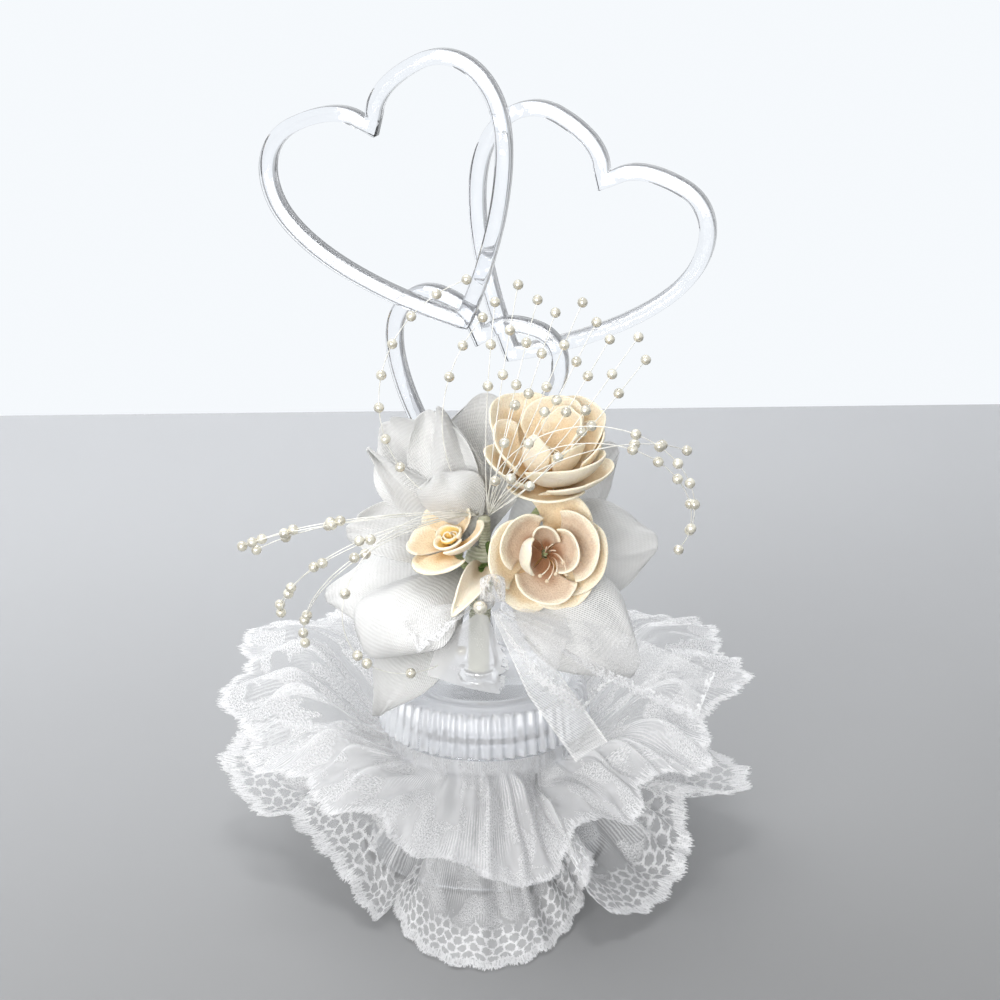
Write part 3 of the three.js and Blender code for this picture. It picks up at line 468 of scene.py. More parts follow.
def wreaths(flat, fuzz):
    """Oval rings of short stitches round open middles"""
    rings_per_mm, ring_radius, lobe_depth, lobe_count = 0.042, 7.0, 0.7, 6.0
    oval = flat.vector("MULTIPLY", (1.0, 0.8, 0))
    inputs = {"Vector": oval, "Scale": rings_per_mm, "Randomness": 0.6}
    rings = add_node(flat.tree, "TexVoronoi", inputs, voronoi_dimensions="2D").outputs
    across, along, _ = oval.vector("SUBTRACT", Value(rings["Position"])).parts()
    reach = Value(rings["Distance"]) / rings_per_mm
    lobes = (along.maths("ARCTAN2", across) * lobe_count).maths("COSINE")
    ring = (reach - (lobes * lobe_depth + ring_radius)).maths("ABSOLUTE")
    return (ring + fuzz * 2.2).ramp(2.2, 3.4, 1.0, 0.0)


def lace_group():
    """Lace: a stitched fringe along the edge, a honeycomb net inside it, then ribbed ground with wreaths"""
    kinds = {"Cloth": "Vector", "Edge": "Float", **dict.fromkeys(LACE_KEYS, "Float"), "Stitch": "Vector"}
    tree, given, out = group_of("Lace Thread", kinds, {"Thread": "Float", "Height": "Float"})
    cloth, edge = given["Cloth"], given["Edge"]
    shake = cloth.noise(0.45, 3.0, output="Color").vector("SUBTRACT", (0.5, 0.5, 0.5)).scaled(2.2)
    flat = cloth.vector("ADD", shake).vector("MULTIPLY", (1, 1, 0))
    fuzz = cloth.noise(2.4, 3.0, Roughness=0.7) - 0.5
    net = (honeycomb(flat, given["Pitch"]) + fuzz * 0.75).ramp(0.29, 0.47, 0.06, 0.95)
    # Further from the edge the net gives way to fine broken ribs down the cloth
    rib_pitch = 0.95
    rib = (cloth.vector("ADD", shake.scaled(0.3)).parts()[0] * (TURN / rib_pitch)).maths("SINE")
    ribs = (rib + fuzz * 3.0).ramp(-1.0, 1.2, 0.34, 0.78) * cloth.noise(0.05, 1.0).ramp(0.4, 0.6, 0.4, 1.0)
    depth = edge + (cloth.noise(0.07, 2.0) - 0.5) * 14.0 - given["Net"]
    ground = depth.ramp(-2.0, 3.0).mix(net, ribs) * given["Ground"]
    # Wreaths, and leaves between them
    leaves = (cloth.noise(0.13, 1.0, Distortion=0.8) + fuzz * 0.1).ramp(0.56, 0.62)
    sprig = wreaths(flat, fuzz).maths("MAXIMUM", leaves) * fuzz.ramp(-0.13, 0.1, 0.4, 1.0)
    sprig = sprig * depth.ramp(-3.0, 3.0) * given["Sprigs"]
    # Fringe: stitches across the edge, ragged on both sides
    ragged = 7.0
    comb = cloth.vector("MULTIPLY", given["Stitch"]).noise(1.0, 2.0)
    band = (given["Border"] + (comb - 0.5) * ragged - edge).ramp(-0.6, 1.6)
    ends = (edge - (comb - 0.4) * ragged).ramp(-0.3, 0.3)
    fringe = band * (comb + fuzz).ramp(0.25, 0.65, 0.6, 1.0)
    dense = sprig.maths("MAXIMUM", fringe)
    threads = ground.maths("MAXIMUM", given["Veil"]).maths("MAXIMUM", dense) * ends
    feed(out, {"Thread": threads, "Height": threads + dense * fuzz})
    return tree


def new_material(name):
    """Material with its tree and its main shader"""
    made = bpy.data.materials.new(name)
    made.use_nodes = True
    return made, made.node_tree, made.node_tree.nodes["Principled BSDF"]


def raise_surface(shader, height, distance, strength):
    """Bumps a shader by a height"""
    bump = add_node(shader.id_data, "Bump", {"Height": height, "Distance": distance, "Strength": strength})
    feed(shader, {"Normal": Value(bump.outputs["Normal"])})


def clear_plastic(name, colour, painted_wall_shade, clearness):
    """Moulded clear acrylic: cut walls darkened with painted shade that stands in for dark reflections,
    faint flow lines and handling haze
    """
    material, tree, shader = new_material(name)
    place = object_place(tree)
    feed(shader, {
        "Base Color": attribute(tree, "wall").blend(colour, painted_wall_shade),
        "Transmission Weight": clearness,
        "IOR": 1.49,
        "Roughness": place.noise(0.35, 5.0).ramp(0.35, 0.75, 0.02, 0.1),
    })
    raise_surface(shader, place.noise(0.09, 2.0), 0.0006, 0.35)
    return material


def paper(name, throat, body, rim, grain):
    """Rolled paper petal: throat to rim colours along the petal, with fibre; the darker throat is partly the
    paper's own tint and partly painted shade deep in the flower
    """
    material, tree, shader = new_material(name)
    fibre = place_group(tree, grain, {"Place": object_place(tree), "Fineness": 2.2})
    along = attribute(tree, "along") + (fibre["Mottle"] - 0.5) * 0.16
    colour = along.ramp(0.1, 0.55).blend(throat, body)
    colour = along.ramp(0.72, 0.95).blend(colour, rim)
    feed(shader, {
        "Base Color": fibre["Height"].ramp(0.3, 0.6, 0.25, 0.0).blend(colour, throat),
        "Roughness": fibre["Height"].ramp(0.3, 0.7, 0.62, 0.8),
        "Subsurface Weight": 0.15,
        "Subsurface Radius": (0.002, 0.0014, 0.0009),
        "Subsurface Scale": 0.6,
    })
    raise_surface(shader, fibre["Height"], 0.0003, 0.9)
    return material


def lit_through(shader, colour, share):
    """Cloth that passes light on: the shader mixed with light from its other side"""
    return mix_shaders(share, shader, add_node(shader.id_data, "BsdfTranslucent", {"Color": colour}))


def satin(name, colour, shade, cover, weave):
    """Satin: white cloth with a fine slanting weave, its colour darker in the weave's grooves as painted
    shade, thinner where it covers less
    """
    material, tree, shader = new_material(name)
    threads = place_group(tree, weave, {"Cloth": cloth_map(tree), "Pitch": 0.55})
    tint = threads["Shade"].blend(shade, colour)
    feed(shader, {
        "Base Color": tint,
        "Alpha": cover,
        "Roughness": threads["Shade"].ramp(0.0, 1.0, 0.55, 0.4),
        "Sheen Weight": 0.15,
    })
    raise_surface(shader, threads["Height"], 0.0001, 0.8)
    show(lit_through(shader, tint, 0.2))
    return material


def lace(name, pattern, group):
    """White lace: thread over holes; a pair in the pattern is its value at the front and at the sides, a
    painted light that makes the lace denser and whiter towards the viewer
    """
    material, tree, shader = new_material(name)
    around = (attribute(tree, "across") - 0.5).maths("ABSOLUTE")
    given = {"Cloth": cloth_map(tree), "Edge": attribute(tree, "edge")}
    for key, value in pattern.items():
        paired = isinstance(value, tuple) and len(value) == 2
        given[key] = around.ramp(0.08, 0.24, *value) if paired else value
    threads = place_group(tree, group, given)
    # Painted shade: sparse thread is tinted greyer than close thread
    tint = threads["Thread"].blend(LACE_SPARSE_SHADE, LACE_BRIGHT)
    feed(shader, {"Base Color": tint, "Roughness": threads["Height"].ramp(0.0, 2.0, 0.8, 0.6)})
    raise_surface(shader, threads["Height"], 0.0003, 0.7)
    gap = add_node(tree, "BsdfTransparent")
    show(mix_shaders(threads["Thread"], gap, lit_through(shader, tint, 0.4)))
    return material


def organza(colour, weave):
    """Sheer ribbon: a fine open weave, closer at its woven edges"""
    material, tree, shader = new_material("sheer_organza")
    threads = place_group(tree, weave, {"Cloth": cloth_map(tree), "Pitch": 0.6})
    aside = (attribute(tree, "across") - 0.5).maths("ABSOLUTE")
    closed = threads["Shade"].ramp(0.0, 1.0, 0.2, 0.42) + aside.ramp(0.4, 0.48, 0.0, 0.25)
    feed(shader, {"Base Color": colour, "Alpha": closed, "Roughness": 0.4})
    raise_surface(shader, threads["Height"], 0.00005, 0.6)
    return material


def cloudy(name, colour, shade, scale, detail, rough, coat):
    """Smooth plastic with a cloudy change of colour and gloss, and its coat if it has one"""
    material, tree, shader = new_material(name)
    cloud = object_place(tree).noise(scale, detail)
    feed(shader, {
        "Base Color": cloud.ramp(0.35, 0.65).blend(shade, colour),
        "Roughness": cloud.ramp(0.3, 0.7, 0.2, rough),
        **coat,
    })
    return material


def wrap(name, colour, shade, pitch):
    """Wound floral tape: slanting turns with crinkles, its colour darker in their low parts as painted shade
    """
    material, tree, shader = new_material(name)
    place = object_place(tree)
    inputs = {"Vector": place, "Scale": 1 / pitch, "Distortion": 1.2, "Detail": 2.0}
    turns = add_node(tree, "TexWave", inputs, bands_direction="Z")
    crinkle = place.noise(1.8, 4.0)
    height = Value(turns.outputs["Fac"]) + crinkle
    feed(shader, {
        # Painted shade: the shade colour fills the hollows between the turns and crinkles
        "Base Color": height.ramp(0.5, 1.5).blend(shade, colour),
        "Roughness": crinkle.ramp(0.3, 0.7, 0.55, 0.8),
    })
    raise_surface(shader, height, 0.0003, 0.7)
    return material


def floor_material():
    """Pale table top with faint cloudiness, and painted shade that darkens it towards the viewer and the
    viewer's right, in place of the lamps' fall-off
    """
    material, tree, shader = new_material("stage_floor")
    place = object_place(tree)
    way = place.vector("DOT_PRODUCT", tuple(VIEW_FRONT + 0.45 * VIEW_RIGHT), output="Value")
    # Painted shade: darker towards the viewer and to the right
    fall = (way + place.noise(0.006, 3.0) * 60.0).ramp(-420.0, 330.0)
    feed(shader, {"Base Color": fall.blend(FLOOR_FAR, FLOOR_NEAR_SHADE), "Roughness": 0.6})
    return material


def backdrop_material():
    """Pale wall that shows itself to the eye and in gloss and glass, and is open from behind"""
    material, tree, shader = new_material("stage_wall")
    feed(shader, {"Base Color": WALL_COLOUR})
    plain = add_node(tree, "Emission", {"Color": WALL_COLOUR, "Strength": 1.0})
    behind = Value(add_node(tree, "NewGeometry").outputs["Backfacing"])
    front = mix_shaders(seen_ray(tree), shader, plain)
    show(mix_shaders(behind, front, add_node(tree, "BsdfTransparent")))
    return material


# Mesh building
def add_patch(mesh, columns, rows, place, cut=(1.0, 1.0), edge=None):
    """Adds a grid to a bmesh, puts its corners at place(u, v), and writes its cloth map and attributes"""
    layers = mesh.verts.layers.float
    names = ("across", "along", "edge")
    for name in names:
        if name not in layers.keys():
            layers.new(name)
    cloth = mesh.loops.layers.uv.get("UVMap") or mesh.loops.layers.uv.new("UVMap")
    across, along, hem = (layers.get(name) for name in names)
    made = bmesh.ops.create_grid(mesh, x_segments=columns, y_segments=rows, size=0.5)["verts"]
    for vert in made:
        u, v = vert.co.x + 0.5, vert.co.y + 0.5
        vert[across] = u
        vert[along] = v
        vert[hem] = edge(u, v) if edge else FAR_FROM_EDGE
        vert.co = Vector(place(u, v)) * MM
    for face in {face for vert in made for face in vert.link_faces}:
        for corner in face.loops:
            u, v = corner.vert[across], corner.vert[along]
            corner[cloth].uv = cut(u, v) if callable(cut) else (u * cut[0], v * cut[1])


def patch(columns, rows, place, cut=(1.0, 1.0), edge=None):
    """New bmesh with one grid"""
    mesh = bmesh.new()
    add_patch(mesh, columns, rows, place, cut, edge)
    return mesh


def close_seams(mesh):
    """Merges the seams and poles of a wrapped grid and points its faces outwards"""
    bmesh.ops.remove_doubles(mesh, verts=mesh.verts, dist=0.01 * MM)
    bmesh.ops.recalc_face_normals(mesh, faces=mesh.faces)
    return mesh


def new_object(name, mesh, material):
    """Object in the scene, made of a bmesh"""
    data = bpy.data.meshes.new(name)
    mesh.to_mesh(data)
    mesh.free()
    data.materials.append(material)
    made = bpy.data.objects.new(name, data)
    bpy.context.scene.collection.objects.link(made)
    return made


def new_piece(name, mesh, material, slot, *nodes):
    """Makes a piece of a bmesh, which rides on the body and stands for CAD nodes"""
    piece = new_object(name, mesh, material)
    piece.data.shade_smooth()
    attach(piece, "root")
    if nodes:
        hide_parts(*nodes)
    return piece


def thicken(piece, thickness, inside=0):
    """Gives a sheet its thickness and rounds it; inside is the step to the material of its upper face"""
    wall = piece.modifiers.new("Thickness", "SOLIDIFY")
    wall.thickness = thickness
    wall.offset = 0.0
    wall.material_offset = inside
    smooth = piece.modifiers.new("Rounded", "SUBSURF")
    smooth.levels = 1
    smooth.render_levels = 1


def circle(angle, radius=1.0, height=0.0):
    """Point on a circle round Z"""
    return Vector((radius * math.cos(angle), radius * math.sin(angle), height))


def tube_place(route, radius, aside):
    """Place function of a tube along a route, closed at both ends; aside is never along the route"""
    step = 0.01

    def place(u, v):
        run = (route(min(v + step, 1.0)) - route(max(v - step, 0.0))).normalized()
        across = run.cross(aside).normalized()
        over = across.cross(run)
        wide = 0.0 if v in (0.0, 1.0) else radius(v)
        return route(v) + (across * math.cos(TURN * u) + over * math.sin(TURN * u)) * wide
    return place


def bend_route(start, middle, end):
    """Quadratic curve through 0 to 1"""
    def route(t):
        return start * (1 - t) ** 2 + middle * (2 * t * (1 - t)) + end * t * t
    return route


def blade_place(shape, centre, ball, thickness, profile, rounding, ruffle=None):
    """Place function and length of a blade that grows out of a ball"""
    face = shape["facing"]
    tip = centre + shape["tip"]
    rise = face * (2 * shape["swell"])
    towards = centre.lerp(tip, 0.5) + rise
    root = centre + (towards - centre).normalized() * (ball + SEAT_GAP + thickness / 2)
    crest = root.lerp(tip, 0.5) + rise
    line = bend_route(root, crest, tip)
    side = (tip - root).cross(face).normalized()

    def place(u, v):
        across = 2 * u - 1
        along = v * (1 - rounding * across * across)
        run = ((crest - root) * (1 - along) + (tip - crest) * along).normalized()
        wide = profile(v)
        lift = shape["cup"] * wide * across * across
        if ruffle:
            lift += ruffle(across, v)
        return line(along) + side * (across * wide * shape["width"] / 2) + side.cross(run) * lift
    return place, (tip - root).length


def petal_profile(point):
    """Width of a petal: a narrow claw, then full, to an end from 0 for round to 1 for sharp"""
    def profile(v):
        end = max(0.0, (v - 0.7) / 0.3)
        full = max(0.1, math.sin(0.78 * math.pi * v) * math.sqrt(1 - 0.6 * end * end))
        return full * (1 - point * max(0.0, v - 0.35) / 0.65)
    return profile


def strip_profile(v):
    """Width of a strip that is gathered at its root"""
    return min(1.0, 0.14 + 1.7 * v)


COLOUR = {"size": 4, "subtype": "COLOR"}


class TopperSizes(bpy.types.PropertyGroup):
    """Sizes that may be changed"""
    pearl: bpy.props.FloatProperty(
        name="Pearl", description="Radius of a pearl", default=0.0014, unit="LENGTH")
    filament: bpy.props.FloatProperty(
        name="Filament", description="Radius of a spray's filament", default=0.00013, unit="LENGTH")
    paper: bpy.props.FloatProperty(
        name="Paper", description="Thickness of the roses' paper", default=0.00065, unit="LENGTH")
    satin: bpy.props.FloatProperty(
        name="Satin", description="Thickness of the satin petals", default=0.0005, unit="LENGTH")
    rim: bpy.props.FloatProperty(
        name="Rim", description="Rounding of the hearts' edges", default=0.0004, unit="LENGTH")


class TopperColours(bpy.types.PropertyGroup):
    """Colours that may be changed"""
    clear: bpy.props.FloatVectorProperty(
        name="Clear", description="Tint of the clear plastic", default=(0.97, 0.98, 1.0, 1.0), **COLOUR)
    cream: bpy.props.FloatVectorProperty(
        name="Cream", description="Body of the cream petals", default=(0.84, 0.68, 0.46, 1.0), **COLOUR)
    blush: bpy.props.FloatVectorProperty(
        name="Blush", description="Body of the blush petals", default=(0.7, 0.56, 0.42, 1.0), **COLOUR)
    gold: bpy.props.FloatVectorProperty(
        name="Gold", description="Throats of the roses", default=(0.5, 0.29, 0.1, 1.0), **COLOUR)
    ivory: bpy.props.FloatVectorProperty(
        name="Ivory", description="Rims of the petals", default=(0.93, 0.85, 0.68, 1.0), **COLOUR)
    green: bpy.props.FloatVectorProperty(
        name="Green", description="Stems of the roses", default=(0.46, 0.49, 0.29, 1.0), **COLOUR)
    white: bpy.props.FloatVectorProperty(
        name="White", description="Satin and ribbon", default=(0.88, 0.877, 0.86, 1.0), **COLOUR)
    pearl: bpy.props.FloatVectorProperty(
        name="Pearl", description="Pearls", default=(0.77, 0.74, 0.63, 1.0), **COLOUR)


MATERIALS = {}


class TOPPER_OT_finishes(bpy.types.Operator):
    """Makes the finishes that the pieces share"""
    bl_idname = "topper.finishes"
    bl_label = "Finishes"

    # Painted shade for the cut walls of the clear and of the ribbed plastic
    painted_wall_shade = (0.03, 0.032, 0.036, 1.0)
    rib_shade = (0.84, 0.84, 0.84, 1.0)
    # Painted shade in the satin weave's grooves
    satin_shade = (0.79, 0.787, 0.772, 1.0)
    pearl_shade = (0.56, 0.53, 0.44, 1.0)
    lustre = {"Metallic": 0.5, "Coat Weight": 0.5, "Coat Roughness": 0.08}
    filament = ((0.85, 0.84, 0.78, 1.0), (0.7, 0.69, 0.62, 1.0))

    def execute(self, context):
        colours = context.scene.topper_colours
        chosen = {name: tuple(getattr(colours, name)) for name in TopperColours.__annotations__}
        weave, grain, threads = weave_group(), grain_group(), lace_group()
        MATERIALS["clear"] = clear_plastic("clear_acrylic", chosen["clear"], self.painted_wall_shade, 1.0)
        MATERIALS["ribbed"] = clear_plastic("ribbed_acrylic", chosen["clear"], self.rib_shade, 0.7)
        for name, throat, body in (
            ("ivory", (0.7, 0.58, 0.42, 1.0), (0.82, 0.75, 0.63, 1.0)),
            ("cream", chosen["gold"], chosen["cream"]),
            ("blush", (0.36, 0.17, 0.08, 1.0), chosen["blush"]),
            ("gold", (0.6, 0.32, 0.03, 1.0), (0.84, 0.6, 0.2, 1.0)),
        ):
            MATERIALS[name] = paper(name + "_paper", throat, body, chosen["ivory"], grain)
        for name, colour, shade, pitch in (
            ("green_tape", chosen["green"], (0.32, 0.38, 0.17, 1.0), 3.0),
            ("dark_green_wire", (0.2, 0.3, 0.07, 1.0), (0.07, 0.13, 0.02, 1.0), 2.0),
            ("white_tape", (0.74, 0.73, 0.58, 1.0), (0.56, 0.57, 0.4, 1.0), 3.0),
        ):
            MATERIALS[name] = wrap(name, colour, shade, pitch)
        MATERIALS["satin"] = satin("white_satin", chosen["white"], self.satin_shade, 1.0, weave)
        MATERIALS["sheer_satin"] = satin("sheer_satin", chosen["white"], self.satin_shade, 0.5, weave)
        for name, values in LACES.items():
            MATERIALS[name] = lace(name, dict(zip(LACE_KEYS, values)), threads)
        MATERIALS["organza"] = organza(chosen["white"], weave)
        pearl = (chosen["pearl"], self.pearl_shade)
        MATERIALS["pearl"] = cloudy("pearl_bead", *pearl, 0.5, 3.0, 0.34, self.lustre)
        MATERIALS["filament"] = cloudy("nylon_filament", *self.filament, 0.25, 2.0, 0.35, {})
        return {"FINISHED"}


def heart_outline(heart):
    """Points of a heart from its notch round its right side to its tip, and the same drawn in by the bar"""
    high, side = heart["height"], heart["width"] / 2
    knots = [Vector((0, high - heart["notch"]))]
    knots += [Vector((x * side, y * high)) for x, y in HEART_CURVE] + [Vector((0, 0))]
    outer = []
    for start, count in ((0, 16), (3, 20), (6, 30)):
        outer = outer[:-1] + interpolate_bezier(*knots[start:start + 4], count)
    outer = [point.to_2d() for point in outer]
    inner = [Vector((0, high - heart["notch"] - 1.4 * HEART_BAR))]
    for before, point, after in zip(outer, outer[1:], outer[2:]):
        run = (after - before).normalized()
        drawn = point + Vector((run.y, -run.x)) * HEART_BAR
        if drawn.x > HEART_BAR / 4:
            inner.append(drawn)
    inner.append(Vector((0, 1.3 * HEART_BAR)))
    return outer, inner


def mirrored(points):
    """A half outline and its mirror, as one closed loop"""
    return points + [Vector((-point.x, point.y)) for point in reversed(points[1:-1])]


def heart_mesh(name, heart, edge):
    """Open heart with rounded rims; the stand's heart has its stem in the same outline"""
    turn = Matrix.Rotation(math.radians(-heart["lean"]), 2)
    tip = Vector(heart["tip"])
    loops = [[turn @ point + tip for point in mirrored(points)] for points in heart_outline(heart)]
    low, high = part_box(name)
    if name == "heart_stand":
        loops[0] = stand_outline(loops[0])
    mesh = bmesh.new()
    edges = []
    for loop in loops:
        verts = [mesh.verts.new((point.x * MM, low.y, point.y * MM)) for point in loop]
        edges += [mesh.edges.new((verts[i - 1], verts[i])) for i in range(len(verts))]
    bmesh.ops.triangle_fill(mesh, use_beauty=True, use_dissolve=False, edges=edges)
    thick = bmesh.ops.extrude_face_region(mesh, geom=mesh.faces[:])["geom"]
    moved = [item for item in thick if isinstance(item, bmesh.types.BMVert)]
    bmesh.ops.translate(mesh, verts=moved, vec=(0, high.y - low.y, 0))
    bmesh.ops.recalc_face_normals(mesh, faces=mesh.faces)
    rims = [rim for rim in mesh.edges if rim.is_manifold and rim.calc_face_angle() > 1.0]
    bmesh.ops.bevel(mesh, geom=rims, offset=edge, segments=2, profile=0.5, affect="EDGES", material=-1)
    mesh.normal_update()
    # Painted shade: a weight on the flanks, strongest where they face up and to the right, that darkens the
    # cut walls as dark reflections would
    wall = mesh.verts.layers.float.new("wall")
    for vert in mesh.verts:
        flank = min(1.0, max(0.0, 1.4 - 2.4 * abs(vert.normal.y)))
        vert[wall] = flank * (0.35 + 0.65 * max(0.0, vert.normal.dot(WALL_SHADE_FACING)))
    return mesh


def stand_outline(loop):
    """Replaces the tip of the stand's heart with a stem that narrows and flares to its foot"""
    tip = min(range(len(loop)), key=lambda i: loop[i].y)
    seat = low_of("heart_stand").z + STEM_TAB
    kept = [i for i in range(len(loop)) if loop[i].y > loop[tip].y + HEART_BAR * 1.2]
    right = [loop[i] for i in kept if i < tip]
    left = [loop[i] for i in kept if i > tip]
    foot_right = Vector((STEM_FOOT + STEM_FOOT_WIDTH / 2, seat))
    foot_left = Vector((STEM_FOOT - STEM_FOOT_WIDTH / 2, seat))
    waist = (seat + loop[tip].y) / 2
    down = bend_route(right[-1], Vector((STEM_FOOT, waist)), foot_right)
    rise = bend_route(foot_left, Vector((STEM_FOOT - STEM_FOOT_WIDTH, waist)), left[0])
    steps = [i / STEM_STEPS for i in range(1, STEM_STEPS + 1)]
    return right + [down(t) for t in steps] + [foot_left] + [rise(t) for t in steps[:-1]] + left


class TOPPER_OT_hearts(bpy.types.Operator):
    """Builds the three clear hearts"""
    bl_idname = "topper.hearts"
    bl_label = "Hearts"

    def execute(self, context):
        for name, heart in HEARTS.items():
            mesh = heart_mesh(name, heart, context.scene.topper_sizes.rim)
            piece = new_piece(name + "_acrylic", mesh, MATERIALS["clear"], "clear_plastic", name)
            piece.data.set_sharp_from_angle(angle=HEART_SHARP_ANGLE)
        return {"FINISHED"}


def turned(profile, steps):
    """Spins a profile of radius and height round Z and closes it"""
    mesh = bmesh.new()
    verts = [mesh.verts.new((radius * MM, 0, height * MM)) for radius, height in profile]
    edges = [mesh.edges.new(pair) for pair in zip(verts, verts[1:])]
    bmesh.ops.spin(mesh, geom=verts + edges, cent=(0, 0, 0), axis=(0, 0, 1), angle=TURN, steps=steps,
                   use_merge=True)
    return close_seams(mesh)


class TOPPER_OT_base(bpy.types.Operator):
    """Builds the clear foot, the ribbed cap and the glue"""
    bl_idname = "topper.base"
    bl_label = "Base"

    ribs = 56
    rib_depth = 1.2
    steps_per_rib = 6
    cap_height = 12
    cap_flare = 1.6
    cap_bore = 26.4
    ridges = (18.4, 22.6)
    ridge_profile = ((0, 0), (0.4, 0.7), (1.1, 1.1), (1.8, 0.7), (2.2, 0))
    neck = 26.4
    neck_heights = (7.4, 24.7)
    wall = 1.8
    lip = 0.3
    foot_steps = 96
    glue_bore = 3.2
    glue_steps = 48

    def execute(self, context):
        self.cap()
        self.foot()
        self.glue()
        return {"FINISHED"}

    def cap(self):
        """Cap with two ridges on its plate and grooves round its wall"""
        bottom = low_of("base_cap").z
        top = bottom + self.cap_height
        wide = high_of("base_cap").x
        rim = wide - self.cap_flare
        bore = self.cap_bore
        plate = [(0, top)]
        plate += [(start + out, top + up) for start in self.ridges for out, up in self.ridge_profile]
        wall = [(rim - 1.2, top), (rim - 0.5, top - 0.15), (rim, top - 0.8), (rim + 0.7, top - 6)]
        wall += [(wide - 0.1, bottom + 0.5), (wide - 0.4, bottom), (bore, bottom)]
        under = [(bore - 0.8, bottom + 0.4), (bore - 1.2, top - 2.6), (bore - 1.8, top - 1.9)]
        under += [(0, top - 1.8)]
        mesh = turned(plate + wall + under, self.ribs * self.steps_per_rib)
        for vert in mesh.verts:
            out = vert.co.xy.length / MM
            if out > rim - 0.9:
                angle = math.atan2(vert.co.y, vert.co.x)
                groove = abs(math.sin(self.ribs * angle / 2)) ** 1.5
                vert.co.xy *= 1 - self.rib_depth * groove / out
        new_piece("base_cap_acrylic", mesh, MATERIALS["ribbed"], "clear_plastic", "base_cap")

    def foot(self):
        """Hollow foot that flares from its neck to its rim"""
        bend, end = (Vector((self.neck, height)) for height in self.neck_heights)
        flare = bend_route(Vector((high_of("base_foot").x, 0)), bend, end)
        outside = [tuple(flare(i / 10)) for i in range(11)]
        inside = [(radius - self.wall, height or self.lip) for radius, height in outside]
        roof = high_of("base_foot").z
        shoulder = [(self.neck, roof - 9), (24.9, roof - 0.5), (24.6, roof)]
        under = [(23.1, roof - 2.1), (22.8, roof - self.wall), (0, roof - self.wall)]
        profile = [(0, roof)] + list(reversed(outside + shoulder)) + inside + under
        mesh = turned(profile, self.foot_steps)
        new_piece("base_foot_acrylic", mesh, MATERIALS["clear"], "clear_plastic", "base_foot")

    def glue(self):
        """Uneven bead of clear glue round the foot of the wrapped stems"""
        low, high = low_of("glue_dab"), high_of("glue_dab")
        middle = (low + high) / 2
        radius = (high.x - low.x) / 2
        start = (self.glue_bore, low.z + 0.2)
        profile = [start, (radius - 0.4, low.z), (radius, low.z + 0.4), (radius * 0.93, low.z + 1.2),
                   (radius * 0.78, low.z + 2.1), (4.0, high.z - 0.2), (self.glue_bore + 0.1, high.z), start]
        mesh = turned(profile, self.glue_steps)
        for vert in mesh.verts:
            lump = noise.noise(vert.co * 220)
            if vert.co.xy.length / MM > self.glue_bore + 0.4:
                vert.co.xy *= 1 + 0.1 * min(lump, 0.0)
        bmesh.ops.translate(mesh, verts=mesh.verts, vec=(middle.x * MM, middle.y * MM, 0))
        new_piece("glue_dab_bead", mesh, MATERIALS["clear"], "glue_clear", "glue_dab")


def rose_frame(rose):
    """Matrix that stands a rose on its base, facing its way, with its x towards the viewer's right"""
    face = Vector(rose["facing"]).normalized()
    right = (VIEW_RIGHT - face * VIEW_RIGHT.dot(face)).normalized()
    turn = Matrix((right, face.cross(right), face)).transposed().to_4x4()
    return Matrix.Translation(HUB + Vector(rose["base"])) @ turn


def rose_petal(stand, petal, order, seed):
    """Place function of one petal: a spoon that rises from the wire and rolls back at its lip"""
    turn, radius, depth, wide, curl, inwards = petal
    height = order * WHORL_STEP
    lean = 0.35 * noise.noise(Vector((seed, 0.4, 1.7)))
    fold = 1.2 * noise.noise(Vector((seed, 5.2, 0.3)))

    def place(u, v):
        across = 2 * u - 1
        bumps = noise.noise(Vector((1.5 * across, 2.0 * v, seed)))
        ragged = noise.noise(Vector((5.0 * across, seed, 2.2)))
        along = v * (1 - 0.24 * across * across + 0.1 * lean * across + 0.035 * ragged)
        lip = max(0.0, along - 0.74)
        reach = ROSE_HOLE + (radius - ROSE_HOLE) * math.sin(math.pi / 2 * along) ** 0.9 + curl * lip
        reach += (0.9 * across - 1.7 * across * across) * along + 0.9 * bumps * along
        reach *= 1 - inwards * along ** 3
        rise = height + depth * along ** 1.45 * (1 + lean * across) - 2.4 * curl * lip * lip
        rise += 0.8 * bumps * along * along
        rise += fold * math.exp(-((across - 0.4 * lean) / 0.3) ** 2) * along * along
        return stand @ circle(math.radians(turn) + across * wide * (0.5 + 0.5 * along), reach, rise)
    return place


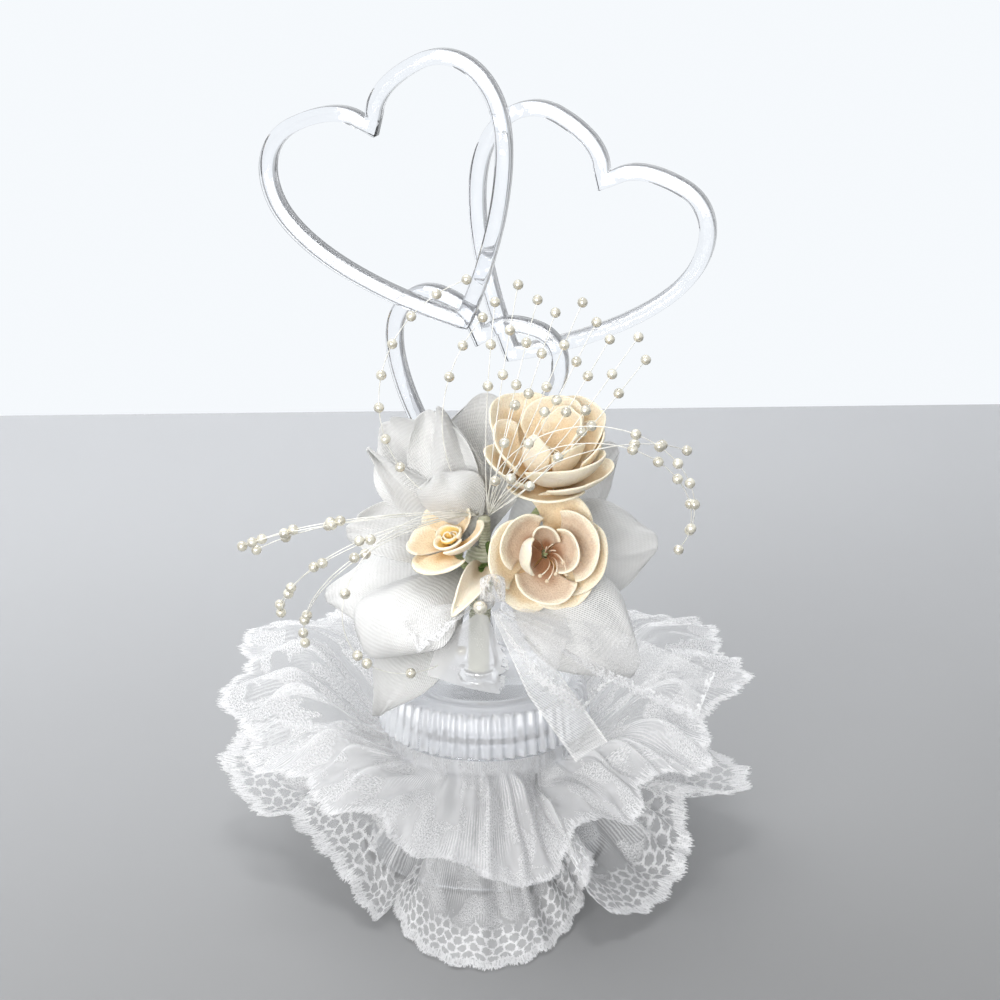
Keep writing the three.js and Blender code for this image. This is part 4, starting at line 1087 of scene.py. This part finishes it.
class TOPPER_OT_roses(bpy.types.Operator):
    """Builds the three paper roses on their wires"""
    bl_idname = "topper.roses"
    bl_label = "Roses"

    whorls = {
        "rose_a": {"outer": "cream", "middle": "cream", "inner": "cream"},
        "rose_b": {"outer": "cream", "middle": "blush", "inner": "blush"},
        "rose_c": {"outer": "cream", "inner": "gold"},
    }

    def execute(self, context):
        thickness = context.scene.topper_sizes.paper
        for name, rose in ROSES.items():
            stand = rose_frame(rose)
            for order, (part, look) in enumerate(self.whorls[name].items()):
                node = f"{name}_{part}"
                mesh = bmesh.new()
                for number, petal in enumerate(ROSE_PETALS[node]):
                    seed = rose["seed"] + 3.7 * order + 1.3 * number
                    add_patch(mesh, 16, 16, rose_petal(stand, petal, order, seed))
                # The outer face is ivory and the upper face takes the whorl's darker paper, partly the
                # paper's tint and partly painted shade inside the cup
                piece = new_piece(node + "_petals", mesh, MATERIALS["ivory"], "paper_" + look, node)
                piece.data.materials.append(MATERIALS[look])
                thicken(piece, thickness, inside=1)
            self.stem(name, stand)
            if "bud" in rose:
                self.bud(name, stand, thickness)
        self.stamens("rose_b")
        return {"FINISHED"}

    def top(self, name):
        """Height of the uppermost whorl over a rose's base"""
        return len(self.whorls[name]) * WHORL_STEP

    def stem(self, name, stand):
        """Taped wire from the hub to a calyx under the petals"""
        foot = stand @ Vector((0, 0, -0.9 * CALYX))
        bend = stand @ Vector((0, 0, -2.25 * CALYX))
        start = HUB + (bend - HUB).normalized() * (HUB_RADIUS + 1.1)
        aside = Vector((0.3, 0.2, 1)).cross(foot - start)
        mesh = patch(10, 14, tube_place(bend_route(start, bend, foot), lambda v: 1.0, aside))
        shoulder = -0.9

        def calyx(u, v):
            height = -CALYX + v * (CALYX + self.top(name))
            wide = 0.8
            if height < shoulder:
                wide = 1.1 + 1.3 * max(0.0, 1 - abs(height - shoulder) / 3.1)
            return stand @ circle(TURN * u, 0.0 if v in (0.0, 1.0) else wide, height)
        add_patch(mesh, 12, 16, calyx)
        new_piece(name + "_wire", close_seams(mesh), MATERIALS["green_tape"], "wrap_green", name + "_stem")

    def bud(self, name, stand, thickness):
        """Rolled bud in the middle: one petal wound on itself"""
        core, tall = ROSES[name]["bud"]

        def roll(u, v):
            angle = 4.6 * math.pi * u
            wide = core * (0.28 + 0.8 * u) * (0.55 + 0.6 * math.sin(2.2 * v))
            rise = self.top(name) + core * v * (tall - 0.5 * u + 0.25 * math.sin(angle * 0.7))
            return stand @ circle(angle, wide, rise)
        look = self.whorls[name]["inner"]
        piece = new_piece(name + "_bud", patch(44, 8, roll), MATERIALS[look], "paper_" + look)
        thicken(piece, thickness * 0.6)

    def stamens(self, name):
        """Curled stamens with pale tips, most of them bent down to one side"""
        stand = rose_frame(ROSES[name])
        base = self.top(name)
        wires = bmesh.new()
        tips = bmesh.new()
        for turn, out, rise, tipped in STAMENS:
            angle = math.radians(turn)
            start = stand @ circle(angle, 0.3, base)
            end = stand @ circle(angle, out, base + rise)
            bend = stand @ circle(angle + 0.9, out * 0.6, base + rise * 1.2)
            route = bend_route(start, bend, end)
            add_patch(wires, 6, 14, tube_place(route, lambda v: STAMEN_RADIUS, Vector((1, 0.1, 0.2))))
            if tipped:
                place = Matrix.Translation(end * MM)
                bmesh.ops.create_icosphere(tips, subdivisions=2, radius=STAMEN_TIP * MM, matrix=place)
        new_piece(name + "_stamens", close_seams(wires), MATERIALS["blush"], "paper_blush")
        new_piece(name + "_stamen_tips", tips, MATERIALS["ivory"], "paper_cream")


def satin_ruffle(phase, crush):
    """Lift of a satin petal: a waved edge, a crease down its claw, and wrinkles"""
    def lift(across, v):
        edge = abs(across) ** 2 * v
        crease = -0.7 * math.exp(-(across / 0.12) ** 2) * (1 - v)
        wrinkle = noise.noise(Vector((2.2 * across, 2.6 * v, phase))) * 2.2 * v
        wrinkle += noise.noise(Vector((5.5 * across, 3.0 * v, phase + 4))) * 1.1 * v * v
        return 1.4 * edge * math.sin(6 * v + 2 * across + phase) + crease + crush * wrinkle
    return lift


class TOPPER_OT_petals(bpy.types.Operator):
    """Builds the satin petals, the ivory petal and the leaves round the hub"""
    bl_idname = "topper.petals"
    bl_label = "Petals"

    def execute(self, context):
        sizes = context.scene.topper_sizes
        for number, (name, shape) in enumerate(SATIN_PETALS.items()):
            ruffle = satin_ruffle(1.7 * number, shape["crush"])
            profile = petal_profile(shape["point"])
            place, length = blade_place(shape, HUB, HUB_RADIUS, 0.7, profile, SATIN_ROUND, ruffle)
            mesh = patch(16, 20, place, (shape["width"], length))
            nodes = [name] if name.startswith("satin_petal") else []
            piece = new_piece(name + "_cloth", mesh, MATERIALS[shape["look"]], "satin_white", *nodes)
            thicken(piece, sizes.satin)
            cut = (shape["width"] * MM, length * 1.05 * MM)
            0.66 * cut[0] * cut[1]
        self.blades(IVORY_PETALS, 0.6, 0.15, (10, 14), MATERIALS["ivory"], "paper_cream", sizes.paper)
        self.blades(LEAVES, 0.7, 0.3, (8, 12), MATERIALS["dark_green_wire"], "wrap_green", sizes.paper)
        self.tendrils()
        return {"FINISHED"}

    def blades(self, shapes, gap, rounding, grid, material, slot, thickness):
        """Plain petals or leaves of paper"""
        for name, shape in shapes.items():
            place, length = blade_place(shape, HUB, HUB_RADIUS, gap, petal_profile(0.0), rounding)
            mesh = patch(*grid, place, (shape["width"], length))
            thicken(new_piece(name + "_paper", mesh, material, slot, name), thickness)

    def tendrils(self):
        """Curled tendrils of green wire round the foot of the roses"""
        mesh = bmesh.new()
        for number in range(TENDRILS):
            turn = 2.4 * number
            end = TENDRIL_ROOT + VIEW_RIGHT * (4.6 * math.cos(turn) - 1) + UP * (3.6 * math.sin(turn) - 1)
            end += VIEW_FRONT * (6 + 1.4 * math.cos(3 * turn))
            curl = VIEW_RIGHT * math.sin(turn) - UP * math.cos(turn)
            route = bend_route(TENDRIL_ROOT, TENDRIL_ROOT.lerp(end, 0.6) + curl * 3.0, end)
            add_patch(mesh, 6, 14, tube_place(route, lambda v: 0.5 - 0.3 * v, Vector((0.2, 0.3, 1))))
        new_piece("leaf_sprigs", close_seams(mesh), MATERIALS["dark_green_wire"], "wrap_green")


class TOPPER_OT_stems(bpy.types.Operator):
    """Builds the taped stems, the hub and the binding of the sprays"""
    bl_idname = "topper.stems"
    bl_label = "Stems"

    foot_place = (-1, -2)

    def execute(self, context):
        foot = Vector((*self.foot_place, low_of("stem_wrap").z))
        rise = Vector((*self.foot_place, (high_of("base_cap").z + HUB.z) / 2))
        route = bend_route(foot, rise, self.on_hub(rise))
        self.tape("stem_wrap", (20, 84), route, lambda v: 2.75 + 0.25 * (v * 14 % 1.0), Vector((1, 0.2, 0)))
        mesh = bmesh.new()
        bmesh.ops.create_icosphere(mesh, subdivisions=4, radius=HUB_RADIUS * MM)
        for vert in mesh.verts:
            vert.co *= 1 - 0.03 * abs(math.sin(vert.co.z * 1100 + math.atan2(vert.co.y, vert.co.x)))
        bmesh.ops.translate(mesh, verts=mesh.verts, vec=HUB * MM)
        new_piece("flower_hub_tape", mesh, MATERIALS["white_tape"], "wrap_white", "flower_hub")
        start = self.on_hub(SPRAY_TOP)
        route = bend_route(start, start.lerp(SPRAY_TOP, 0.5), SPRAY_TOP)
        self.tape("spray_binding", (14, 48), route, lambda v: 1.5 + 0.2 * (v * 9 % 1.0), RIGHT)
        start = self.on_hub(KNOT)
        end = KNOT + (HUB - KNOT).normalized() * (KNOT_RADIUS + SEAT_GAP)
        self.tape("bow_wire", (10, 20), bend_route(start, start.lerp(end, 0.5), end), lambda v: 0.55, RIGHT)
        return {"FINISHED"}

    def on_hub(self, towards):
        """Point just off the hub on the way to another point"""
        return HUB + (towards - HUB).normalized() * (HUB_RADIUS + SEAT_GAP)

    def tape(self, name, grid, route, radius, aside):
        """Tube of wound tape along a route"""
        mesh = close_seams(patch(*grid, tube_place(route, radius, aside)))
        new_piece(name + "_tape", mesh, MATERIALS["white_tape"], "wrap_white", name)


def strand_route(root, lean, length, forward):
    """Route of a strand whose lean changes evenly from its root to its end"""
    start, end = (math.radians(angle) for angle in lean)
    turn = end - start

    def route(s):
        sideways = (math.cos(start) - math.cos(start + turn * s)) / turn * length
        upwards = (math.sin(start + turn * s) - math.sin(start)) / turn * length
        out = forward[0] * math.sin(math.pi * s) + forward[1] * s
        return root + VIEW_RIGHT * sideways + VIEW_FRONT * out + UP * upwards
    return route


class TOPPER_OT_sprays(bpy.types.Operator):
    """Builds the pearl sprays on their filaments"""
    bl_idname = "topper.sprays"
    bl_label = "Sprays"

    def execute(self, context):
        sizes = context.scene.topper_sizes
        seat = SPRAY_TOP + (SPRAY_TOP - HUB).normalized() * SPRAY_COLLAR
        crown = []
        for number in range(CROWN_STRANDS):
            lean = CROWN_LEANS[0] + (CROWN_LEANS[1] - CROWN_LEANS[0]) * number / (CROWN_STRANDS - 1)
            length = CROWN_LENGTHS[number % len(CROWN_LENGTHS)]
            crown.append(((lean - CROWN_BEND, lean + CROWN_BEND), length, (12 + lean / 8, -9), CROWN_PEARLS))
        self.spray("spray_right", seat + RIGHT * SPRAY_COLLAR, (*crown, *RIGHT_STRANDS), sizes)
        self.spray("spray_left", seat - RIGHT * SPRAY_COLLAR, LEFT_STRANDS, sizes)
        return {"FINISHED"}

    def spray(self, name, root, strands, sizes):
        """One spray: filaments in one mesh, and their pearls in another"""
        filaments = bmesh.new()
        pearls = bmesh.new()
        thin = sizes.filament / MM
        for lean, length, forward, beads in strands:
            route = strand_route(root, lean, length, forward)
            add_patch(filaments, 6, 40, tube_place(route, lambda v: thin, VIEW_FRONT))
            for along in beads:
                place = Matrix.Translation(route(along) * MM)
                bmesh.ops.create_icosphere(pearls, subdivisions=2, radius=sizes.pearl, matrix=place)
        new_piece(name + "_pearls", pearls, MATERIALS["pearl"], "pearl", name)
        new_piece(name + "_filaments", close_seams(filaments), MATERIALS["filament"], "clear_plastic")


def tail_ruffle(phase):
    """Lift of a bow's tail: pleats at the knot and a waved edge"""
    def lift(across, v):
        pleats = 0.9 * math.sin(5 * across + phase) * (1 - v) ** 0.5
        edge = 1.1 * across * across * v * math.sin(9 * v + phase + across)
        return pleats * min(1.0, 4 * v) + edge
    return lift


def ribbon_wave(across, v):
    """Lift of the ribbon's tail: waves that grow towards its end"""
    return 0.8 * math.sin(6 * v) * v


class TOPPER_OT_bow(bpy.types.Operator):
    """Builds the lace bow, its ribbon tail and its pearl"""
    bl_idname = "topper.bow"
    bl_label = "Bow"

    def execute(self, context):
        for number, (name, shape) in enumerate(BOW_TAILS.items()):
            place, length = self.strip(shape, tail_ruffle(2.1 * number))
            width = shape["width"]
            left = shape["tip"].x < 0
            mesh = patch(24, 44, place, lambda u, v: (v * length, u * width),
                         lambda u, v: min((u if left else 1 - u) * width, (1 - v) * length + 2))
            piece = new_piece(name + "_cloth", mesh, MATERIALS[shape["look"]], "lace_white", name)
            cut = (width * MM, length * 1.05 * MM)
            0.9 * cut[0] * cut[1]
        place, length = self.strip(RIBBON_TAIL, ribbon_wave)
        mesh = patch(10, 40, place, (RIBBON_TAIL["width"], length))
        piece = new_piece("ribbon_tail_cloth", mesh, MATERIALS["organza"], "satin_white", "ribbon_tail")
        cut = (RIBBON_TAIL["width"] * MM, length * 1.03 * MM)
        0.9 * cut[0] * cut[1]
        self.knot()
        self.loop()
        mesh = bmesh.new()
        bmesh.ops.create_icosphere(mesh, subdivisions=3, radius=ball_radius("bow_pearl") * MM,
                                   matrix=Matrix.Translation(middle_of("bow_pearl") * MM))
        new_piece("bow_pearl_bead", mesh, MATERIALS["pearl"], "pearl", "bow_pearl")
        return {"FINISHED"}

    def strip(self, shape, ruffle):
        """Place function and length of a strip that hangs from the knot"""
        return blade_place(shape, KNOT, KNOT_RADIUS, 0.8, strip_profile, 0.0, ruffle)

    def knot(self):
        """Gathered knot"""
        mesh = bmesh.new()
        bmesh.ops.create_uvsphere(mesh, u_segments=48, v_segments=24, radius=0.8 * KNOT_RADIUS * MM)
        for vert in mesh.verts:
            fold = math.sin(9 * math.atan2(vert.co.z, vert.co.y) + vert.co.x * 900)
            vert.co *= 0.9 + 0.1 * fold
        bmesh.ops.translate(mesh, verts=mesh.verts, vec=KNOT * MM)
        new_piece("bow_knot_cloth", mesh, MATERIALS["satin"], "lace_white", "bow_knot")

    def loop(self):
        """Standing loop of lace on the knot"""
        width, length = KNOT_LOOP

        def place(u, v):
            swing = TURN * (v - 0.5)
            top = max(0.0, math.cos(swing)) ** 2
            out = 2.0 + 2.4 * math.cos(swing / 2) * math.cos(math.pi * (u - 0.5)) - 1.6 * math.sin(swing)
            tall = 4.6 + 4.2 * math.cos(swing) - 9 * (u - 0.5) ** 2 * top
            side = (u - 0.5) * width * (0.62 - 0.1 * top)
            return KNOT + VIEW_FRONT * out + UP * tall + VIEW_RIGHT * (side + KNOT_LOOP_ASIDE)
        mesh = patch(16, 32, place, (width, length), lambda u, v: 0.6 * min(u, 1 - u) * width + 1.6)
        piece = new_piece("bow_knot_loop", mesh, MATERIALS["sheer_lace"], "lace_white")


def hem_curve(turns):
    """Fine points of a smooth closed curve through a hem's turns"""
    fine = []
    for number in range(len(turns)):
        before, start, end, after = (turns[(number + step) % len(turns)] for step in (-1, 0, 1, 2))
        bend = 2 * before - 5 * start + 4 * end - after
        twist = 3 * start - before - 3 * end + after
        for step in range(HEM_CURVE_STEPS):
            t = step / HEM_CURVE_STEPS
            fine.append((2 * start + (end - before) * t + bend * t * t + twist * t ** 3) / 2)
    return fine + [fine[0]]


def even_points(fine):
    """Points at even steps along a line, and its length"""
    lengths = [0.0]
    for start, end in zip(fine, fine[1:]):
        lengths.append(lengths[-1] + (end - start).length)
    points = []
    number = 0
    for step in range(HEM_STEPS + 1):
        wanted = lengths[-1] * step / HEM_STEPS
        while lengths[number + 1] < wanted - 1e-9:
            number += 1
        share = (wanted - lengths[number]) / (lengths[number + 1] - lengths[number])
        points.append(fine[number].lerp(fine[number + 1], share))
    return points, lengths[-1]


def hem_lines(tier):
    """Points along a tier's hem, their angles, the angles of the gathers above them, and the hem's length"""
    turns = [circle(math.radians(angle) + LACE_FRONT, radius, height)
             for angle, radius, height in tier["hem"]]
    hem, length = even_points(hem_curve(turns))
    reach = round(HEM_STEPS * HEM_ROUND)
    near = range(-reach, reach + 1)
    hem = [sum((hem[(step + shift) % HEM_STEPS] for shift in near), Vector()) / len(near)
           for step in range(HEM_STEPS + 1)]
    scallops = round(length / SCALLOP_WIDTH)
    for step, point in enumerate(hem):
        bulge = SCALLOP_DEPTH * (abs(math.sin(math.pi * scallops * step / HEM_STEPS)) - 0.5)
        point.xy *= 1 + bulge / point.xy.length
    angles = [math.atan2(hem[0].y, hem[0].x)]
    for point in hem[1:]:
        angle = math.atan2(point.y, point.x)
        angles.append(angle + TURN * round((angles[-1] - angle) / TURN))
    wrapped = [angle - TURN for angle in angles[-GATHER_SPAN - 1:-1]] + angles
    wrapped += [angle + TURN for angle in angles[1:GATHER_SPAN + 1]]
    window = 2 * GATHER_SPAN + 1
    gathers = [sum(wrapped[i:i + window]) / window for i in range(HEM_STEPS + 1)]
    return hem, angles, gathers, length


def lace_place(tier):
    """Place, cloth and edge functions of a gathered tier: a band on the neck, then folds out to the hem"""
    hem, angles, gathers, length = hem_lines(tier)
    head = tier["head"]
    root = head - LACE_BAND

    def step_at(u):
        return min(round(u * HEM_STEPS), HEM_STEPS)

    def cloth(u, v):
        step = step_at(u)
        drop = (hem[step] - circle(gathers[step], LACE_START, root)).length
        return u * length, (1 - v) * drop * LACE_SLACK

    def edge(u, v):
        return cloth(u, v)[1]

    def place(u, v):
        step = step_at(u)
        skirt = max(0.0, (v - LACE_BAND_SHARE) / (1 - LACE_BAND_SHARE))
        way = gathers[step] + (angles[step] - gathers[step]) * skirt ** 0.8
        radius = LACE_START + (hem[step].xy.length - LACE_START) * skirt
        level = root + (hem[step].z - root) * math.sin(math.pi / 2 * skirt) ** tier["fall"]
        if v < LACE_BAND_SHARE:
            level = head - LACE_BAND * v / LACE_BAND_SHARE
        aside = max(0.0, math.cos(way - LACE_FRONT))
        level += tier["puff"] * math.sin(math.pi * skirt) ** 2 * (1 - aside ** 1.5)
        ring = circle(TURN * u)
        drift = 5 * noise.noise(ring * 1.9 + UP * head)
        swell = 0.6 + 1.2 * abs(noise.noise(ring * 3.1 + UP * (head + 9)))
        pleat = sum(depth * math.sin(waves * (TURN * u + 0.05 * drift) + start + drift)
                    for waves, start, depth in PLEATS)
        pleat *= PLEAT_DEPTH * swell * min(1.0, 6 * skirt) * (1 - skirt) ** 0.8
        crumple = noise.noise(ring * 9 + UP * (2.6 * skirt + head)) * 5.0 * math.sin(math.pi * skirt)
        crumple += noise.noise(ring * 24 + UP * (4 * skirt + head)) * 1.6 * skirt
        level += 0.75 * pleat + crumple * (1 - 0.5 * aside)
        radius += 0.65 * pleat + 0.4 * crumple
        return circle(way, radius, max(level, LACE_FLOOR_GAP))
    return place, cloth, edge


class TOPPER_OT_lace(bpy.types.Operator):
    """Builds the two gathered lace tiers"""
    bl_idname = "topper.lace"
    bl_label = "Lace"

    def execute(self, context):
        for name, tier in TIERS.items():
            width, length = tier["cut"]
            mesh = close_seams(patch(HEM_STEPS, 44, *lace_place(tier)))
            piece = new_piece(name + "_cloth", mesh, MATERIALS[tier["look"]], "lace_white", name)
        return {"FINISHED"}


class TOPPER_OT_stage(bpy.types.Operator):
    """Sets the table, the wall, the light and the camera"""
    bl_idname = "topper.stage"
    bl_label = "Stage"

    def execute(self, context):
        scene = context.scene
        scene.view_settings.view_transform = "Standard"
        self.table()
        self.lamps(scene)
        self.sky(scene)
        self.camera(scene)
        return {"FINISHED"}

    def table(self):
        """Pale table top and a pale wall behind it"""
        mesh = bmesh.new()
        bmesh.ops.create_grid(mesh, x_segments=1, y_segments=1, size=3.0)
        floor = new_object("stage_floor", mesh, floor_material())
        mesh = bmesh.new()
        bmesh.ops.create_grid(mesh, x_segments=1, y_segments=1, size=2.0)
        turn = Matrix.Rotation(VIEW_ANGLE + WALL_TURN, 4, "Z")
        stand = Matrix.Rotation(math.radians(90), 4, "X")
        place = Matrix.Translation(-VIEW_FRONT * WALL_DISTANCE)
        bmesh.ops.transform(mesh, verts=mesh.verts, matrix=place @ turn @ stand)
        wall = new_object("stage_wall", mesh, backdrop_material())
        wall.visible_shadow = False

    def lamps(self, scene):
        """Large soft lamps"""
        for name, (place, size, power) in LAMPS.items():
            lamp = bpy.data.lights.new(name, "AREA")
            lamp.size = size
            lamp.energy = power
            holder = bpy.data.objects.new(name, lamp)
            holder.location = place
            holder.rotation_euler = (LAMP_AIM - Vector(place)).to_track_quat("-Z", "Y").to_euler()
            scene.collection.objects.link(holder)

    def sky(self, scene):
        """Surround that lights from above, and is pale to the eye and in gloss and glass"""
        world = bpy.data.worlds.new("surround")
        scene.world = world
        world.use_nodes = True
        tree = world.node_tree
        height = Value(add_node(tree, "TexCoord").outputs["Generated"]).parts()[2]
        tint = height.ramp(0.1, 0.8).blend(SKY_LOW, SKY_HIGH)
        colour = seen_ray(tree).blend(tint, SKY_SEEN)
        feed(tree.nodes["Background"], {"Color": colour, "Strength": SKY_STRENGTH})

    def camera(self, scene):
        """Camera at the photograph's angle"""
        lens = bpy.data.cameras.new("camera")
        lens.lens = CAMERA_LENS
        lens.sensor_width = CAMERA_SENSOR
        holder = bpy.data.objects.new("camera", lens)
        holder.location = CAMERA_PLACE
        holder.rotation_euler = CAMERA_TURN
        scene.collection.objects.link(holder)
        scene.camera = holder


OPERATORS = (
    TOPPER_OT_finishes,
    TOPPER_OT_hearts,
    TOPPER_OT_base,
    TOPPER_OT_roses,
    TOPPER_OT_petals,
    TOPPER_OT_stems,
    TOPPER_OT_sprays,
    TOPPER_OT_bow,
    TOPPER_OT_lace,
    TOPPER_OT_stage,
)


class TOPPER_PT_panel(bpy.types.Panel):
    """Lists the topper's pieces, sizes and colours"""
    bl_idname = "TOPPER_PT_panel"
    bl_label = "Cake Topper"
    bl_space_type = "VIEW_3D"
    bl_region_type = "UI"
    bl_category = "Topper"

    def draw(self, context):
        for group in (context.scene.topper_sizes, context.scene.topper_colours):
            for name in group.__annotations__:
                self.layout.prop(group, name)
        for operator in OPERATORS:
            self.layout.operator(operator.bl_idname)


CLASSES = (TopperSizes, TopperColours, *OPERATORS, TOPPER_PT_panel)


def register():
    """Registers the classes and hangs the properties on the scene"""
    for item in CLASSES:
        bpy.utils.register_class(item)
    bpy.types.Scene.topper_sizes = bpy.props.PointerProperty(type=TopperSizes)
    bpy.types.Scene.topper_colours = bpy.props.PointerProperty(type=TopperColours)


def unregister():
    """Takes the properties and classes away again"""
    del bpy.types.Scene.topper_colours
    del bpy.types.Scene.topper_sizes
    for item in reversed(CLASSES):
        bpy.utils.unregister_class(item)


def main():
    """Builds every piece in order"""
    register()
    for operator in OPERATORS:
        group, name = operator.bl_idname.split(".")
        getattr(getattr(bpy.ops, group), name)()


if __name__ == "__main__":
    main()
